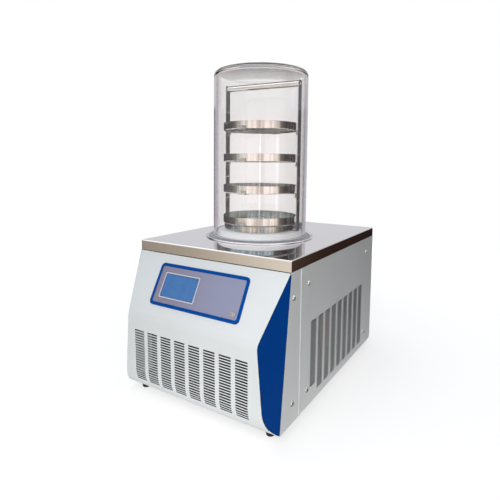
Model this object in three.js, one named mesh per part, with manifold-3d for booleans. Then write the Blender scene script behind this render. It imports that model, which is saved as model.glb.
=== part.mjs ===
// A bench-top freeze dryer: a painted cabinet with its refrigeration unit and cold trap, and a
// clear bell jar over a rack of trays. Millimetres, +Z up, the front towards -Y, x = 0 on the
// centre plane. Heights run from the surface that the feet stand on.
import * as THREE from "three";
import { mergeVertices } from "three/addons/utils/BufferGeometryUtils.js";
import Module from "manifold-3d";

const wasm = await Module();
wasm.setup();

// ---------------------------------------------------------------- driving dimensions
const gap = 0.3; // clearance between pieces that touch
const sheet = 1.5; // painted steel sheet
const roundSides = 40; // facets of the large round pieces
const smallSides = 12; // facets of the small round pieces

// Cabinet
const cabinetWidth = 450;
const lidDepth = 587;
const lidLip = 26;
const lidCorner = 4;
const footHeight = 18;
const footRadius = 12;
const footInset = 34.5; // from a side of the cabinet
const frontFootReach = 20.5; // forward of the lid's front
const rearFootInset = 28;
const cabinetHeight = 372;
const stripDepth = 48; // from the front of the lid back to the seam of the side panel
const panelFlange = 12; // turned-in top edge of a side panel
const baseFlange = 16; // turned-up edge of the base pan

// Front nose: a slanted upper face, an almost upright lower face and a rounded chin
const frontSheet = 2;
const noseReach = 80; // how far the bend stands forward of the lid
const noseDrop = 170; // from the top of the lid down to the bend
const bendRadius = 9;
const lowerLean = 2.5; // how far the lower face falls back to the chin
const chinRadius = 75;
const chinSweep = THREE.MathUtils.degToRad(58.57); // how far the chin curls under
const chinSteps = 6;
const chinFlange = 18; // turned-under lower edge
const cheekSheet = 2;
const cheekTurn = THREE.MathUtils.degToRad(30);
const cheekTopInset = 1; // the cheek's rear edge at the top, behind the front of the lid
const cheekBaseReach = 42.5; // the cheek's rear edge at the base, forward of the lid

// Louvres
const louvreWidth = 31.7;
const louvreHeight = 3.2;
const frontLouvre = { columns: 8, rows: 21, columnPitch: 43.1, rowPitch: 6.35, drop: 40 };
const sideLouvre = { columns: 9, rows: 28, columnPitch: 43.4, rowPitch: 6.6, drop: 169, shift: -20.5 };
const sideRowsCleared = 3; // left out of the first column, over a screw
const leftLouvreRows = 8; // the left panel has a shorter field
const rearLouvre = { columns: 4, rows: 6, columnPitch: 43.4, rowPitch: 6.6, drop: 150 };

// Control panel, on the slanted face
const consoleWidth = 265;
const consoleHeight = 106;
const consoleDrop = 78; // from the top of the slant down to its middle
const consoleCorner = 11;
const consoleBorder = 8;
const consoleThick = 1.6;
const bezelWidth = 108;
const bezelHeight = 63;
const bezelRim = 2.6;
const bezelThick = 1.8;
const screenInset = 16; // from the border to the screen's bezel
const screenLift = -1; // middle of the screen above the middle of the panel
const portWidth = 15;
const portHeight = 8.5;
const portWall = 1.2;
const portInset = 7; // from the border to the port

// Cold trap and its deck ring
const chamberBack = -53; // axis of the chamber from the middle of the lid
const trapDepth = 150;
const trapWall = 1.5;
const sealSetback = 1.5; // from the trap's mouth to the seal
const deckMargin = 2.5; // flat ring between the seal and the rolled rim
const rimWidth = 4.5;
const rimHeight = 3.5;
const rimRound = 1.2;
const coilTube = 8;
const coilTurns = 4;
const coilSteps = 22; // facets of one turn
const coilTop = 15; // from the lid down to the first turn
const coilBottom = 20; // from the last turn down to the trap's floor
const coilRoom = 1.2; // between the coil and the trap or the foam
const foamWall = 22;

// Seal, jar, rack and trays, with heights above the lid
const sealHeight = 22;
const sealFlat = 7;
const sealRound = 2.4; // rounding of the seal's upstand
const sealMargin = 14; // how far the seal stands out past the jar
const sealStep = 2.5; // flat left round the jar before the seal slopes down
const sealEdge = 3.6; // height of the seal's outer edge
const jarRoom = 7.3; // between the rack and the jar
const jarWall = 8.2;
const jarHeadroom = 17; // from the top of the rack up to the shoulder of the jar
const jarKnuckle = 14;
const jarCrown = 800;
const rackTurn = THREE.MathUtils.degToRad(3.4);
const rackShift = 2; // the rack stands a little off the axis
const legRoom = 10; // from a tray to the outside of a leg
const rackTop = 426;
const stripWidth = 22;
const stripThick = 1.5;
const handleDiameter = 17;
const handleDrop = 9; // from the top of the strips to the handle's axis
const trayCount = 4;
const trayRadius = 103;
const trayHeight = 21;
const trayWall = 1;
const trayPitch = 84.8;
const lowestTray = 40;
const shelfThick = 1.5;
const shelfWidth = 23;
const shelfTab = 9;
const studDiameter = 6;
const studLength = 9;
const studDrop = 9; // from the tray's underside to the stud's axis
const ringRoom = 0.5; // between the rack's ring and a stud
const ringWall = 1.5;
const lugWidth = 12;
const lugHeight = 4;

// Refrigeration unit
const compressorRadius = 62;
const compressorHeight = 150;
const compressorInset = 120; // of its axis, from the left side
const compressorY = 175;
const mountLength = 150;
const mountWidth = 22;
const mountHeight = 12;
const compressorPlate = 3;
const condenserWidth = 300;
const condenserMargin = 4; // between the fan's opening and the edge of the shroud
const condenserDepth = 42;
const condenserY = -311;
const condenserLift = 32;
const finCount = 20;
const finThick = 1.5;
const fanRadius = 72;
const fanTip = 4; // running clearance round the fan
const fanThick = 22;
const bladeCount = 5;
const bladeChord = 34;
const bladeThick = 2;
const bladePitch = THREE.MathUtils.degToRad(32);
const hubRadius = 20;
const motorRadius = 27;
const motorLength = 42;
const shaftRadius = 3;
const shroudThick = 1.5;
const collarDepth = 14;
const bracketWidth = 12;
const bracketThick = 2;
const pipeRadius = 4;
const capillaryRadius = 1.5;
const drierRadius = 14;
const drierLength = 90;
const drierInset = 55; // from the right side
const drierY = 40;
const drierLift = 50; // above the base pan
const dischargeHeight = 112; // of the run along the left side
const liquidHeight = 50; // of the run along the right side
const laneInset = 28; // from a side to the pipe along it
const laneTurn = 55; // in which a pipe turns into its run
const pipeLead = 20; // straight stretch where a pipe leaves a piece
const shortLead = 14;
const condenserTap = 40; // from the fan's axis down to the condenser's outlet
const capillaryRise = 100; // from the drier up to the trap's inlet
const suctionDrop = 60; // from the trap's mouth down to its outlets
const vacuumLead = 28;
const drainBend = 55; // in which the drain turns towards the back

// Electrical pieces
const boardMargin = 12; // past the port, for the board's own stands
const boardHeight = 100;
const boardThick = 1.6;
const boardStand = 14; // from the slanted face back to the middle of the board
const boxInset = 80; // of its middle, from the right side
const boxY = 185;
const boxWidth = 90;
const boxDepth = 120;
const boxHeight = 70;
const inletInset = 65; // from the left side
const inletHeight = 75;
const inletWidth = 48;
const inletFace = 28;
const socketWidth = 24.5;
const socketHeight = 16;
const socketDepth = 16;
const prongLength = 11;
const switchSpacing = 60; // from the inlet to the switch
const switchWidth = 22;
const switchHeight = 32;
const switchDepth = 14;
const rockerHalfWidth = 7.7;
const rockerTilt = THREE.MathUtils.degToRad(9);

// Vacuum port and air inlet valve, on the rear panel
const fittingInset = 95; // of the rear fittings, from the right side
const vacuumHeight = 250;
const vacuumBore = 12;
const vacuumWall = 2;
const vacuumFlange = 20;
const rearReach = 38; // how far the rear fittings stand out
const fittingReach = 12; // and how far they reach in
const valveHeight = 165;
const valveRadius = 8;
const valveBore = 1.8;
const stemHeight = 15;
const stemPlace = 14; // behind the rear panel
const leverLength = 46;
const leverWidth = 10;
const leverThick = 2.5;

// ---------------------------------------------------------------- worked-out places
const halfWidth = cabinetWidth / 2;
const footX = halfWidth - footInset;
const compressorX = compressorInset - halfWidth;
const drierX = halfWidth - drierInset;
const boxX = halfWidth - boxInset;
const inletX = inletInset - halfWidth;
const switchX = inletX + switchSpacing;
const fittingX = halfWidth - fittingInset;
const lidFront = -lidDepth / 2;
const lidRear = lidDepth / 2;
const lidTop = footHeight + cabinetHeight;
const panelTop = lidTop - lidLip - gap;
const bendY = lidFront - noseReach;
const bendZ = lidTop - noseDrop;
const chinZ = footHeight + chinRadius * Math.sin(chinSweep);
const chinY = bendY + lowerLean;
const seamY = lidFront + stripDepth;
const innerWidth = cabinetWidth - 2 * (sheet + gap);
const baseTop = footHeight + frontSheet;
const rearInside = lidRear - sheet;
const jarFoot = sealFlat + gap;
const rackHalfSpan = trayRadius + legRoom;
const ringRadius = rackHalfSpan - rackShift - stripThick - studLength - ringRoom;
const jarBore = rackHalfSpan + rackShift + jarRoom;
const jarRadius = jarBore + jarWall;
const jarShoulder = rackTop + jarHeadroom;
const sealInner = ringRadius - ringWall;
const sealOuter = jarRadius + sealMargin;
const trapRadius = sealInner - sealSetback;
const deckRadius = sealOuter + deckMargin + rimWidth;
const condenserHeight = 2 * (fanRadius + fanTip + condenserMargin);
const slantTilt = Math.atan2(panelTop - bendZ, noseReach);
const boardFront = boardThick / 2 - boardStand; // the board's face, measured from the slanted face
const coilRadius = trapRadius + trapWall + coilTube / 2 + coilRoom;
const foamInner = coilRadius + coilTube / 2 + coilRoom;
const foamOuter = foamInner + foamWall;
const portX = consoleWidth / 2 - consoleBorder - portInset - portWidth / 2;
const portLift = consoleBorder + portInset + portHeight / 2 - consoleHeight / 2;
const screenX = consoleBorder + screenInset + bezelWidth / 2 - consoleWidth / 2;
const boardWidth = 2 * (portX + portWidth / 2 + boardMargin);
const trayLevel = (index) => lowestTray + index * trayPitch;
const centreShift = (noseReach - rearReach) / 2; // brings the middle of the whole to y = 0

// ---------------------------------------------------------------- finishes
const finish = (color, roughness, metalness, extra = {}) =>
  new THREE.MeshStandardMaterial({ color, roughness, metalness, ...extra });
const whitePaint = finish(0xe3e6e6, 0.45, 0);
const bluePaint = finish(0x00397a, 0.4, 0);
const borderBlue = finish(0x00489a, 0.4, 0);
const consoleGrey = finish(0x9294ac, 0.45, 0);
const bezelGrey = finish(0xd8d4dc, 0.4, 0);
const screenBlue = finish(0x4079b9, 0.2, 0);
const polishedSteel = finish(0xd2cfd0, 0.12, 1);
const brushedSteel = finish(0xb8b6b2, 0.35, 1);
const zincSteel = finish(0x9a9c9e, 0.5, 1);
const clearGlass = finish(0xf2f5f6, 0.03, 0, { transparent: true, opacity: 0.25 });
const silicone = finish(0xe8ecee, 0.5, 0);
const blackRubber = finish(0x1c1d20, 0.8, 0);
const blackPlastic = finish(0x17181a, 0.5, 0);
const redPlastic = finish(0xa01818, 0.45, 0);
const copper = finish(0xb5714c, 0.35, 1);
const blackEnamel = finish(0x141516, 0.35, 0);
const foam = finish(0xd9cfa8, 0.9, 0);
const aluminium = finish(0xc4c7ca, 0.4, 1);
const boardGreen = finish(0x1f5a34, 0.6, 0);
const brass = finish(0xc2a052, 0.3, 1);

// ---------------------------------------------------------------- shape tools
// A closed geometry as a solid, and a solid as a geometry.
function solidOf(geometry) {
  const bare = geometry.clone();
  bare.deleteAttribute("normal");
  bare.deleteAttribute("uv");
  const merged = mergeVertices(bare, 1e-4);
  return new wasm.Manifold(
    new wasm.Mesh({
      numProp: 3,
      vertProperties: new Float32Array(merged.attributes.position.array),
      triVerts: new Uint32Array(merged.index.array),
    }),
  );
}

function geometryOf(solid) {
  const mesh = solid.getMesh();
  const geometry = new THREE.BufferGeometry();
  geometry.setAttribute("position", new THREE.BufferAttribute(mesh.vertProperties, 3));
  geometry.setIndex(new THREE.BufferAttribute(mesh.triVerts, 1));
  geometry.computeVertexNormals();
  return geometry;
}

const join = (...geometries) =>
  geometryOf(geometries.map(solidOf).reduce((whole, solid) => whole.add(solid)));
const cut = (geometry, ...cutters) =>
  geometryOf(cutters.map(solidOf).reduce((whole, solid) => whole.subtract(solid), solidOf(geometry)));
const overlap = (...geometries) =>
  geometryOf(geometries.map(solidOf).reduce((whole, solid) => whole.intersect(solid)));

// A box between two corners.
function block([x0, y0, z0], [x1, y1, z1]) {
  const box = new THREE.BoxGeometry(x1 - x0, y1 - y0, z1 - z0);
  return box.translate((x0 + x1) / 2, (y0 + y1) / 2, (z0 + z1) / 2);
}

// A box of a given size about a point.
function blockAt([x, y, z], [width, depth, height]) {
  return new THREE.BoxGeometry(width, depth, height).translate(x, y, z);
}

const outlineOf = (points) => new THREE.Shape(points.map(([a, b]) => new THREE.Vector2(a, b)));

// A plate of a given outline, with its thickness from z = 0 upwards.
function plate(shape, thickness) {
  return new THREE.ExtrudeGeometry(shape, { depth: thickness, bevelEnabled: false, curveSegments: 2 });
}

// An outline of (y, z) points drawn out along x, from x = start.
function extrudeAlongX(points, start, width) {
  const turned = new THREE.Matrix4().makeBasis(
    new THREE.Vector3(0, 1, 0),
    new THREE.Vector3(0, 0, 1),
    new THREE.Vector3(1, 0, 0),
  );
  return plate(outlineOf(points), width).applyMatrix4(turned).translate(start, 0, 0);
}

function roundedRectangle(width, height, radius) {
  const x = width / 2 - radius;
  const y = height / 2 - radius;
  const shape = new THREE.Shape();
  shape.absarc(x, y, radius, 0, Math.PI / 2);
  shape.absarc(-x, y, radius, Math.PI / 2, Math.PI);
  shape.absarc(-x, -y, radius, Math.PI, 1.5 * Math.PI);
  shape.absarc(x, -y, radius, 1.5 * Math.PI, 2 * Math.PI);
  return shape;
}

// A profile of (radius, height) points turned about the z axis. It starts and ends on the axis
// or closes on itself, and runs anticlockwise with the radius drawn to the right.
function turned(points, sides = roundSides) {
  const profile = points.map(([radius, height]) => new THREE.Vector2(radius, height));
  return new THREE.LatheGeometry(profile, sides).rotateX(Math.PI / 2);
}

const disc = (radius, bottom, top, sides = smallSides) =>
  turned([[0, bottom], [radius, bottom], [radius, top], [0, top]], sides);

function ring(inner, outer, bottom, top, sides = roundSides) {
  return turned([[inner, bottom], [outer, bottom], [outer, top], [inner, top], [inner, bottom]], sides);
}

// The same turned shapes with their axis along y, pointing back.
const backwards = (geometry) => geometry.rotateX(-Math.PI / 2);

// A round bar or pipe along a smooth curve through the points.
function pipe(points, radius, steps, sides = 6) {
  const path = new THREE.CatmullRomCurve3(points.map((p) => new THREE.Vector3(...p)));
  return pipeAlong(path, radius, steps, sides);
}

function pipeAlong(path, radius, steps, sides) {
  const section = new THREE.Shape();
  for (let i = 0; i < sides; i++) {
    const angle = (2 * Math.PI * i) / sides;
    const draw = i ? "lineTo" : "moveTo";
    section[draw](radius * Math.cos(angle), radius * Math.sin(angle));
  }
  return new THREE.ExtrudeGeometry(section, { steps, bevelEnabled: false, extrudePath: path });
}

// An open line of (y, z) points moved sideways by a distance, to the left of its direction.
function offsetLine(points, distance) {
  return points.map(([y, z], i) => {
    const [y0, z0] = points[Math.max(i - 1, 0)];
    const [y1, z1] = points[Math.min(i + 1, points.length - 1)];
    const before = i ? Math.atan2(z - z0, y - y0) : Math.atan2(z1 - z, y1 - y);
    const after = i < points.length - 1 ? Math.atan2(z1 - z, y1 - y) : before;
    const middle = (before + after) / 2;
    const reach = distance / Math.cos((after - before) / 2);
    return [y - reach * Math.sin(middle), z + reach * Math.cos(middle)];
  });
}

// The point and direction at a distance along a line of (y, z) points.
function pointAlong(points, distance) {
  let left = distance;
  for (let i = 1; i < points.length; i++) {
    const [y0, z0] = points[i - 1];
    const [y1, z1] = points[i];
    const length = Math.hypot(y1 - y0, z1 - z0);
    if (left <= length || i === points.length - 1) {
      const share = left / length;
      return { y: y0 + share * (y1 - y0), z: z0 + share * (z1 - z0), tilt: Math.atan2(y1 - y0, z0 - z1) };
    }
    left -= length;
  }
}

function piece(parent, name, geometry, material, [x, y, z] = [0, 0, 0]) {
  const mesh = new THREE.Mesh(geometry, material.clone());
  mesh.name = name;
  mesh.position.set(x, y, z);
  parent.add(mesh);
  return mesh;
}

function groupAt(parent, x, y, z) {
  const group = new THREE.Group();
  group.position.set(x, y, z);
  parent.add(group);
  return group;
}

// ---------------------------------------------------------------- the whole
const freezeDryer = new THREE.Group();
const cabinet = groupAt(freezeDryer, 0, centreShift, 0);

// The outer skin of the nose as (y, z) points, from under the lid down to the base.
function noseSkin() {
  const top = new THREE.Vector2(lidFront, panelTop);
  const corner = new THREE.Vector2(bendY, bendZ);
  const foot = new THREE.Vector2(chinY, chinZ);
  const above = corner.clone().add(top.clone().sub(corner).setLength(bendRadius));
  const below = corner.clone().add(foot.clone().sub(corner).setLength(bendRadius));
  const bend = new THREE.QuadraticBezierCurve(above, corner, below).getPoints(3);
  const chin = [];
  for (let i = 0; i <= chinSteps; i++) {
    const angle = (chinSweep * i) / chinSteps;
    chin.push([chinY + chinRadius * (1 - Math.cos(angle)), chinZ - chinRadius * Math.sin(angle)]);
  }
  return [[top.x, top.y], ...bend.map((p) => [p.x, p.y]), ...chin];
}

const skin = noseSkin();
const chinEndY = skin[skin.length - 1][0];
const flangeEndY = chinEndY + chinFlange;

// A line of (y, z) points with both ends drawn out.
function lengthened(points, reach) {
  const beyond = ([y0, z0], [y1, z1]) => {
    const length = Math.hypot(y1 - y0, z1 - z0);
    return [y1 + (reach * (y1 - y0)) / length, z1 + (reach * (z1 - z0)) / length];
  };
  const last = points.length - 1;
  return [beyond(points[1], points[0]), ...points.slice(1, last), beyond(points[last - 1], points[last])];
}

// The cheek's rear edge in the side plane, moved back by a distance.
const cheekRear = (back) => [
  [lidFront - cheekBaseReach + back, footHeight],
  [lidFront + cheekTopInset + back, panelTop],
];

// A slab parallel to a cheek, between two distances outwards from the cheek's outer face.
function cheekSlab(side, inner, outer) {
  const span = 2 * (cabinetHeight + noseReach);
  const forward = new THREE.Vector3(-side * Math.sin(cheekTurn), -Math.cos(cheekTurn), 0);
  const upward = new THREE.Vector3(0, cheekTopInset + cheekBaseReach, panelTop - footHeight).normalize();
  const outward = new THREE.Vector3().crossVectors(upward, forward).multiplyScalar(side).normalize();
  const across = new THREE.Vector3().crossVectors(upward, outward);
  const place = new THREE.Matrix4().makeBasis(across, upward, outward);
  place.setPosition(side * halfWidth, lidFront + cheekTopInset, panelTop);
  const slab = new THREE.BoxGeometry(span, span, outer - inner).translate(0, 0, (inner + outer) / 2);
  return slab.applyMatrix4(place);
}

// ---------------------------------------------------------------- cabinet pieces
function lid() {
  const outer = plate(roundedRectangle(cabinetWidth, lidDepth, lidCorner), lidLip);
  const inner = plate(
    roundedRectangle(cabinetWidth - 2 * sheet, lidDepth - 2 * sheet, lidCorner - sheet),
    lidLip,
  ).translate(0, 0, -sheet);
  const mouth = disc(trapRadius + trapWall + 1, -1, lidLip + 1, roundSides).translate(0, chamberBack, 0);
  return cut(outer, inner, mouth).translate(0, 0, lidTop - lidLip);
}

// A place on the slanted face: x across, up the slope from the middle of the control panel.
const slope = groupAt(
  cabinet,
  0,
  lidFront - consoleDrop * Math.cos(slantTilt),
  panelTop - consoleDrop * Math.sin(slantTilt),
);
slope.rotation.x = slantTilt;

function onSlope(geometry) {
  slope.updateMatrix();
  return geometry.applyMatrix4(slope.matrix);
}

function frontPanel() {
  const inside = offsetLine(skin, frontSheet);
  const outline = [...skin, [flangeEndY, footHeight], [flangeEndY, baseTop], ...inside.reverse()];
  const whole = extrudeAlongX(outline, -halfWidth, cabinetWidth);
  const cutters = [];
  for (const side of [1, -1]) {
    const strip = [...lengthened(cheekRear(gap), 20), [0, 2 * lidTop], [0, 0]];
    const start = side > 0 ? halfWidth - sheet - gap : -halfWidth - sheet;
    cutters.push(cheekSlab(side, 0, cabinetWidth), extrudeAlongX(strip, start, 2 * sheet + gap));
  }
  cutters.push(onSlope(blockAt([screenX, screenLift, 0], [bezelWidth - 4, bezelHeight - 4, 8 * frontSheet])));
  cutters.push(onSlope(blockAt([portX, portLift, 0], [portWidth + 1, portHeight + 1, 8 * frontSheet])));
  const { columns, rows, columnPitch, rowPitch, drop } = frontLouvre;
  const lower = [[bendY, bendZ], ...skin.slice(-chinSteps - 1)];
  for (let row = 0; row < rows; row++) {
    const { y, z, tilt } = pointAlong(lower, drop + row * rowPitch);
    for (let column = 0; column < columns; column++) {
      const x = (column - (columns - 1) / 2) * columnPitch;
      const slot = new THREE.BoxGeometry(louvreWidth, 6 * frontSheet, louvreHeight);
      cutters.push(slot.rotateX(tilt).translate(x, y, z));
    }
  }
  return cut(whole, ...cutters);
}

function cheek(side) {
  const behindSkin = [...offsetLine(lengthened(skin, 5), frontSheet + gap), [0, 0], [0, lidTop]];
  const beforeStrip = [...lengthened(cheekRear(0), 10), [2 * bendY, lidTop], [2 * bendY, 0]];
  return overlap(
    cheekSlab(side, -cheekSheet, 0),
    extrudeAlongX(behindSkin, -halfWidth, cabinetWidth),
    extrudeAlongX(beforeStrip, -halfWidth, cabinetWidth),
    block([-halfWidth, 2 * bendY, baseTop + gap], [halfWidth, 0, panelTop]),
  );
}

function sideStrip(side) {
  const outline = [...cheekRear(2 * gap), [seamY - gap, panelTop], [seamY - gap, footHeight]];
  return extrudeAlongX(outline, side > 0 ? halfWidth - sheet : -halfWidth, sheet);
}

const grid = (columns, rows) =>
  Array.from({ length: columns * rows }, (_, i) => [i % columns, Math.floor(i / columns)]);

function sidePanel(side, rows, cleared) {
  const chamfer = { y: 22, z: 8 };
  const outline = [
    [seamY, footHeight],
    [lidRear - chamfer.y, footHeight],
    [lidRear, footHeight + chamfer.z],
    [lidRear, panelTop],
    [seamY, panelTop],
  ];
  const start = side > 0 ? halfWidth - sheet : -halfWidth;
  const flange = blockAt(
    [side * (halfWidth - panelFlange / 2), (seamY + rearInside - gap) / 2, panelTop - sheet / 2],
    [panelFlange - sheet / 2, rearInside - gap - seamY, sheet],
  );
  const middle = (seamY + lidRear) / 2 + sideLouvre.shift;
  const slots = grid(sideLouvre.columns, rows)
    .filter(([column, row]) => column > 0 || row < rows - cleared)
    .map(([column, row]) => {
      const y = middle + (column - (sideLouvre.columns - 1) / 2) * sideLouvre.columnPitch;
      const z = lidTop - sideLouvre.drop - row * sideLouvre.rowPitch;
      return blockAt([side * halfWidth, y, z], [6 * sheet, louvreWidth, louvreHeight]);
    });
  return cut(join(extrudeAlongX(outline, start, sheet), flange), ...slots);
}

function rearPanel() {
  const wall = block([-innerWidth / 2, rearInside, footHeight], [innerWidth / 2, lidRear, panelTop]);
  const { columns, rows, columnPitch, rowPitch, drop } = rearLouvre;
  const slots = grid(columns, rows).map(([column, row]) => {
    const x = (column - (columns - 1) / 2) * columnPitch;
    return blockAt([x, lidRear, lidTop - drop - row * rowPitch], [louvreWidth, 6 * sheet, louvreHeight]);
  });
  const inletHole = blockAt([inletX, lidRear, inletHeight], [socketWidth + 6, 6 * sheet, socketHeight + 6]);
  const switchHole = blockAt(
    [switchX, lidRear, inletHeight],
    [switchWidth - 2, 6 * sheet, switchHeight - 2],
  );
  const vacuumHole = backwards(disc(vacuumBore + vacuumWall + 1, -6, 6, 20)).translate(
    fittingX,
    lidRear,
    vacuumHeight,
  );
  const valveHole = backwards(disc(valveRadius, -6, 6)).translate(fittingX, lidRear, valveHeight);
  return cut(wall, inletHole, switchHole, vacuumHole, valveHole, ...slots);
}

function basePan() {
  const x = innerWidth / 2;
  const front = flangeEndY + gap;
  const rear = rearInside - gap;
  const whole = block([-x, front, footHeight], [x, rear, baseTop + baseFlange]);
  const hollow = block([-x + sheet, front - 1, baseTop], [x - sheet, rear - sheet, baseTop + 2 * baseFlange]);
  const toe = block([-x - 1, front - 1, baseTop], [x + 1, seamY, baseTop + 2 * baseFlange]);
  return cut(whole, hollow, toe);
}

function foot() {
  const height = footHeight - gap;
  const sole = 0.8 * footRadius;
  return turned(
    [[0, 0], [sole, 0], [sole + 1, 1.5], [footRadius, height - 2], [footRadius, height], [0, height]],
    16,
  );
}

piece(cabinet, "lid", lid(), polishedSteel);
piece(cabinet, "front_panel", frontPanel(), whitePaint);
piece(cabinet, "side_panel_right", sidePanel(1, sideLouvre.rows, sideRowsCleared), whitePaint);
piece(cabinet, "side_panel_left", sidePanel(-1, leftLouvreRows, 0), whitePaint);
piece(cabinet, "rear_panel", rearPanel(), whitePaint);
piece(cabinet, "base_pan", basePan(), zincSteel);
for (const [word, side] of [["right", 1], ["left", -1]]) {
  piece(cabinet, `cheek_${word}`, cheek(side), bluePaint);
  piece(cabinet, `side_strip_${word}`, sideStrip(side), whitePaint);
  piece(cabinet, `foot_front_${word}`, foot(), blackRubber, [side * footX, lidFront - frontFootReach, 0]);
  piece(cabinet, `foot_rear_${word}`, foot(), blackRubber, [side * footX, lidRear - rearFootInset, 0]);
}

// ---------------------------------------------------------------- control panel
function consoleFrame() {
  const outer = plate(roundedRectangle(consoleWidth, consoleHeight, consoleCorner), consoleThick);
  const inner = plate(
    roundedRectangle(
      consoleWidth - 2 * consoleBorder,
      consoleHeight - 2 * consoleBorder,
      consoleCorner - consoleBorder / 2,
    ),
    3 * consoleThick,
  ).translate(0, 0, -consoleThick);
  return cut(outer, inner);
}

function consoleFace() {
  const face = plate(
    roundedRectangle(
      consoleWidth - 2 * (consoleBorder + gap),
      consoleHeight - 2 * (consoleBorder + gap),
      consoleCorner - consoleBorder / 2 - gap,
    ),
    consoleThick - 0.4,
  );
  const window = blockAt([screenX, screenLift, 0], [bezelWidth - 4, bezelHeight - 4, 8]);
  const socket = blockAt([portX, portLift, 0], [portWidth + 1, portHeight + 1, 8]);
  return cut(face, window, socket);
}

function screenBezel() {
  const outer = plate(roundedRectangle(bezelWidth, bezelHeight, 2), bezelThick);
  const inner = blockAt([0, 0, 0], [bezelWidth - 2 * bezelRim, bezelHeight - 2 * bezelRim, 6 * bezelThick]);
  return cut(outer, inner);
}

function dataPort() {
  const x = portWidth / 2;
  const y = portHeight / 2;
  const back = boardFront + gap;
  const shell = block([-x, -y, back], [x, y, consoleThick]);
  const mouth = block(
    [portWall - x, portWall - y, back + portWall],
    [x - portWall, y - portWall, 2 * consoleThick],
  );
  const tongue = block(
    [2 * portWall - x, 0, back + portWall / 2],
    [x - 2 * portWall, portWall, consoleThick - 1],
  );
  return join(cut(shell, mouth), tongue);
}

function controlBoard() {
  const board = blockAt([0, 0, -boardStand], [boardWidth, boardHeight, boardThick]);
  const stands = [[1, 1], [-1, 1], [1, -1], [-1, -1]].map(([right, up]) =>
    disc(3, -boardStand, -frontSheet - gap, 6).translate(
      right * (boardWidth / 2 - 6),
      up * (boardHeight / 2 - 6),
      0,
    ),
  );
  return join(board, ...stands);
}

function screen() {
  const bottom = boardFront + gap;
  const x = bezelWidth / 2 - bezelRim - 2 * gap;
  const y = bezelHeight / 2 - bezelRim - 2 * gap;
  return block([-x, -y, bottom], [x, y, consoleThick + gap]);
}

piece(slope, "console_frame", consoleFrame(), borderBlue, [0, 0, gap]);
piece(slope, "console_face", consoleFace(), consoleGrey, [0, 0, gap]);
piece(slope, "screen_bezel", screenBezel(), bezelGrey, [screenX, screenLift, consoleThick + gap]);
piece(slope, "screen", screen(), screenBlue, [screenX, screenLift, 0]);
piece(slope, "data_port", dataPort(), brushedSteel, [portX, portLift, 0]);
piece(slope, "control_board", controlBoard(), boardGreen);

// ---------------------------------------------------------------- cold trap, on the lid
const deck = groupAt(cabinet, 0, chamberBack, lidTop);

function coldTrap() {
  const outside = trapRadius + trapWall;
  const floor = gap + trapWall;
  return turned([
    [0, -trapDepth - trapWall],
    [outside, -trapDepth - trapWall],
    [outside, gap],
    [deckRadius, gap],
    [deckRadius, rimHeight - rimRound],
    [deckRadius - rimRound, rimHeight],
    [deckRadius - rimWidth + rimRound, rimHeight],
    [deckRadius - rimWidth, rimHeight - rimRound],
    [deckRadius - rimWidth, floor],
    [trapRadius, floor],
    [trapRadius, -trapDepth],
    [0, -trapDepth],
  ]);
}

function trapFoam() {
  const top = -sheet - gap;
  const bottom = -trapDepth - trapWall - gap;
  return turned([
    [0, bottom - foamWall],
    [foamOuter, bottom - foamWall],
    [foamOuter, top],
    [foamInner, top],
    [foamInner, bottom],
    [0, bottom],
  ]);
}

class Helix extends THREE.Curve {
  getPoint(share, target = new THREE.Vector3()) {
    const angle = 2 * Math.PI * coilTurns * share;
    const drop = trapDepth - coilTop - coilBottom;
    return target.set(coilRadius * Math.cos(angle), coilRadius * Math.sin(angle), -coilTop - drop * share);
  }
}

const coolingCoil = () => pipeAlong(new Helix(), coilTube / 2, coilTurns * coilSteps, 5);

function seal() {
  const floor = gap + trapWall + gap;
  return turned([
    [sealInner, floor],
    [sealOuter, floor],
    [sealOuter, sealEdge],
    [jarRadius + sealStep, sealFlat],
    [jarBore - 4 * gap, sealFlat],
    [jarBore - 12 * gap, sealHeight - sealRound],
    [jarBore - 12 * gap - sealRound, sealHeight],
    [sealInner + sealRound / 2, sealHeight],
    [sealInner, sealHeight - sealRound / 2],
    [sealInner, floor],
  ]);
}

piece(deck, "cold_trap", coldTrap(), polishedSteel);
piece(deck, "trap_insulation", trapFoam(), foam);
piece(deck, "cooling_coil", coolingCoil(), copper);
piece(deck, "jar_seal", seal(), silicone);

// ---------------------------------------------------------------- bell jar
// The dome of a jar of one wall side: a tight shoulder that runs into a shallow crown.
function dome(radius, knuckle, crown) {
  const knuckleX = radius - knuckle;
  const crownZ = jarShoulder - Math.sqrt((crown - knuckle) ** 2 - knuckleX ** 2);
  const turn = Math.asin(knuckleX / (crown - knuckle));
  const points = [];
  for (let i = 0; i <= 4; i++) {
    const angle = Math.PI / 2 + (i / 4) * (turn - Math.PI / 2);
    points.push([knuckleX + knuckle * Math.sin(angle), jarShoulder + knuckle * Math.cos(angle)]);
  }
  for (let i = 1; i <= 3; i++) {
    const angle = turn * (1 - i / 3);
    points.push([crown * Math.sin(angle), crownZ + crown * Math.cos(angle)]);
  }
  return points;
}

function bellJar() {
  const outside = dome(jarRadius, jarKnuckle, jarCrown);
  const inside = dome(jarBore, jarKnuckle - jarWall, jarCrown - jarWall);
  return turned([...inside.reverse(), [jarBore, jarFoot], [jarRadius, jarFoot], ...outside]);
}

piece(deck, "bell_jar", bellJar(), clearGlass);

// ---------------------------------------------------------------- rack and trays
const rack = groupAt(deck, 0, 0, 0);
rack.rotation.z = rackTurn;
const legFoot = sealHeight + gap;
const legFace = { left: rackShift - rackHalfSpan + stripThick, right: rackShift + rackHalfSpan - stripThick };
const shelfBottom = -gap - shelfThick; // below the tray that stands on it

// A round bar along x.
const bar = (radius, start, end, sides) => disc(radius, start, end, sides).rotateY(Math.PI / 2);

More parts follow.
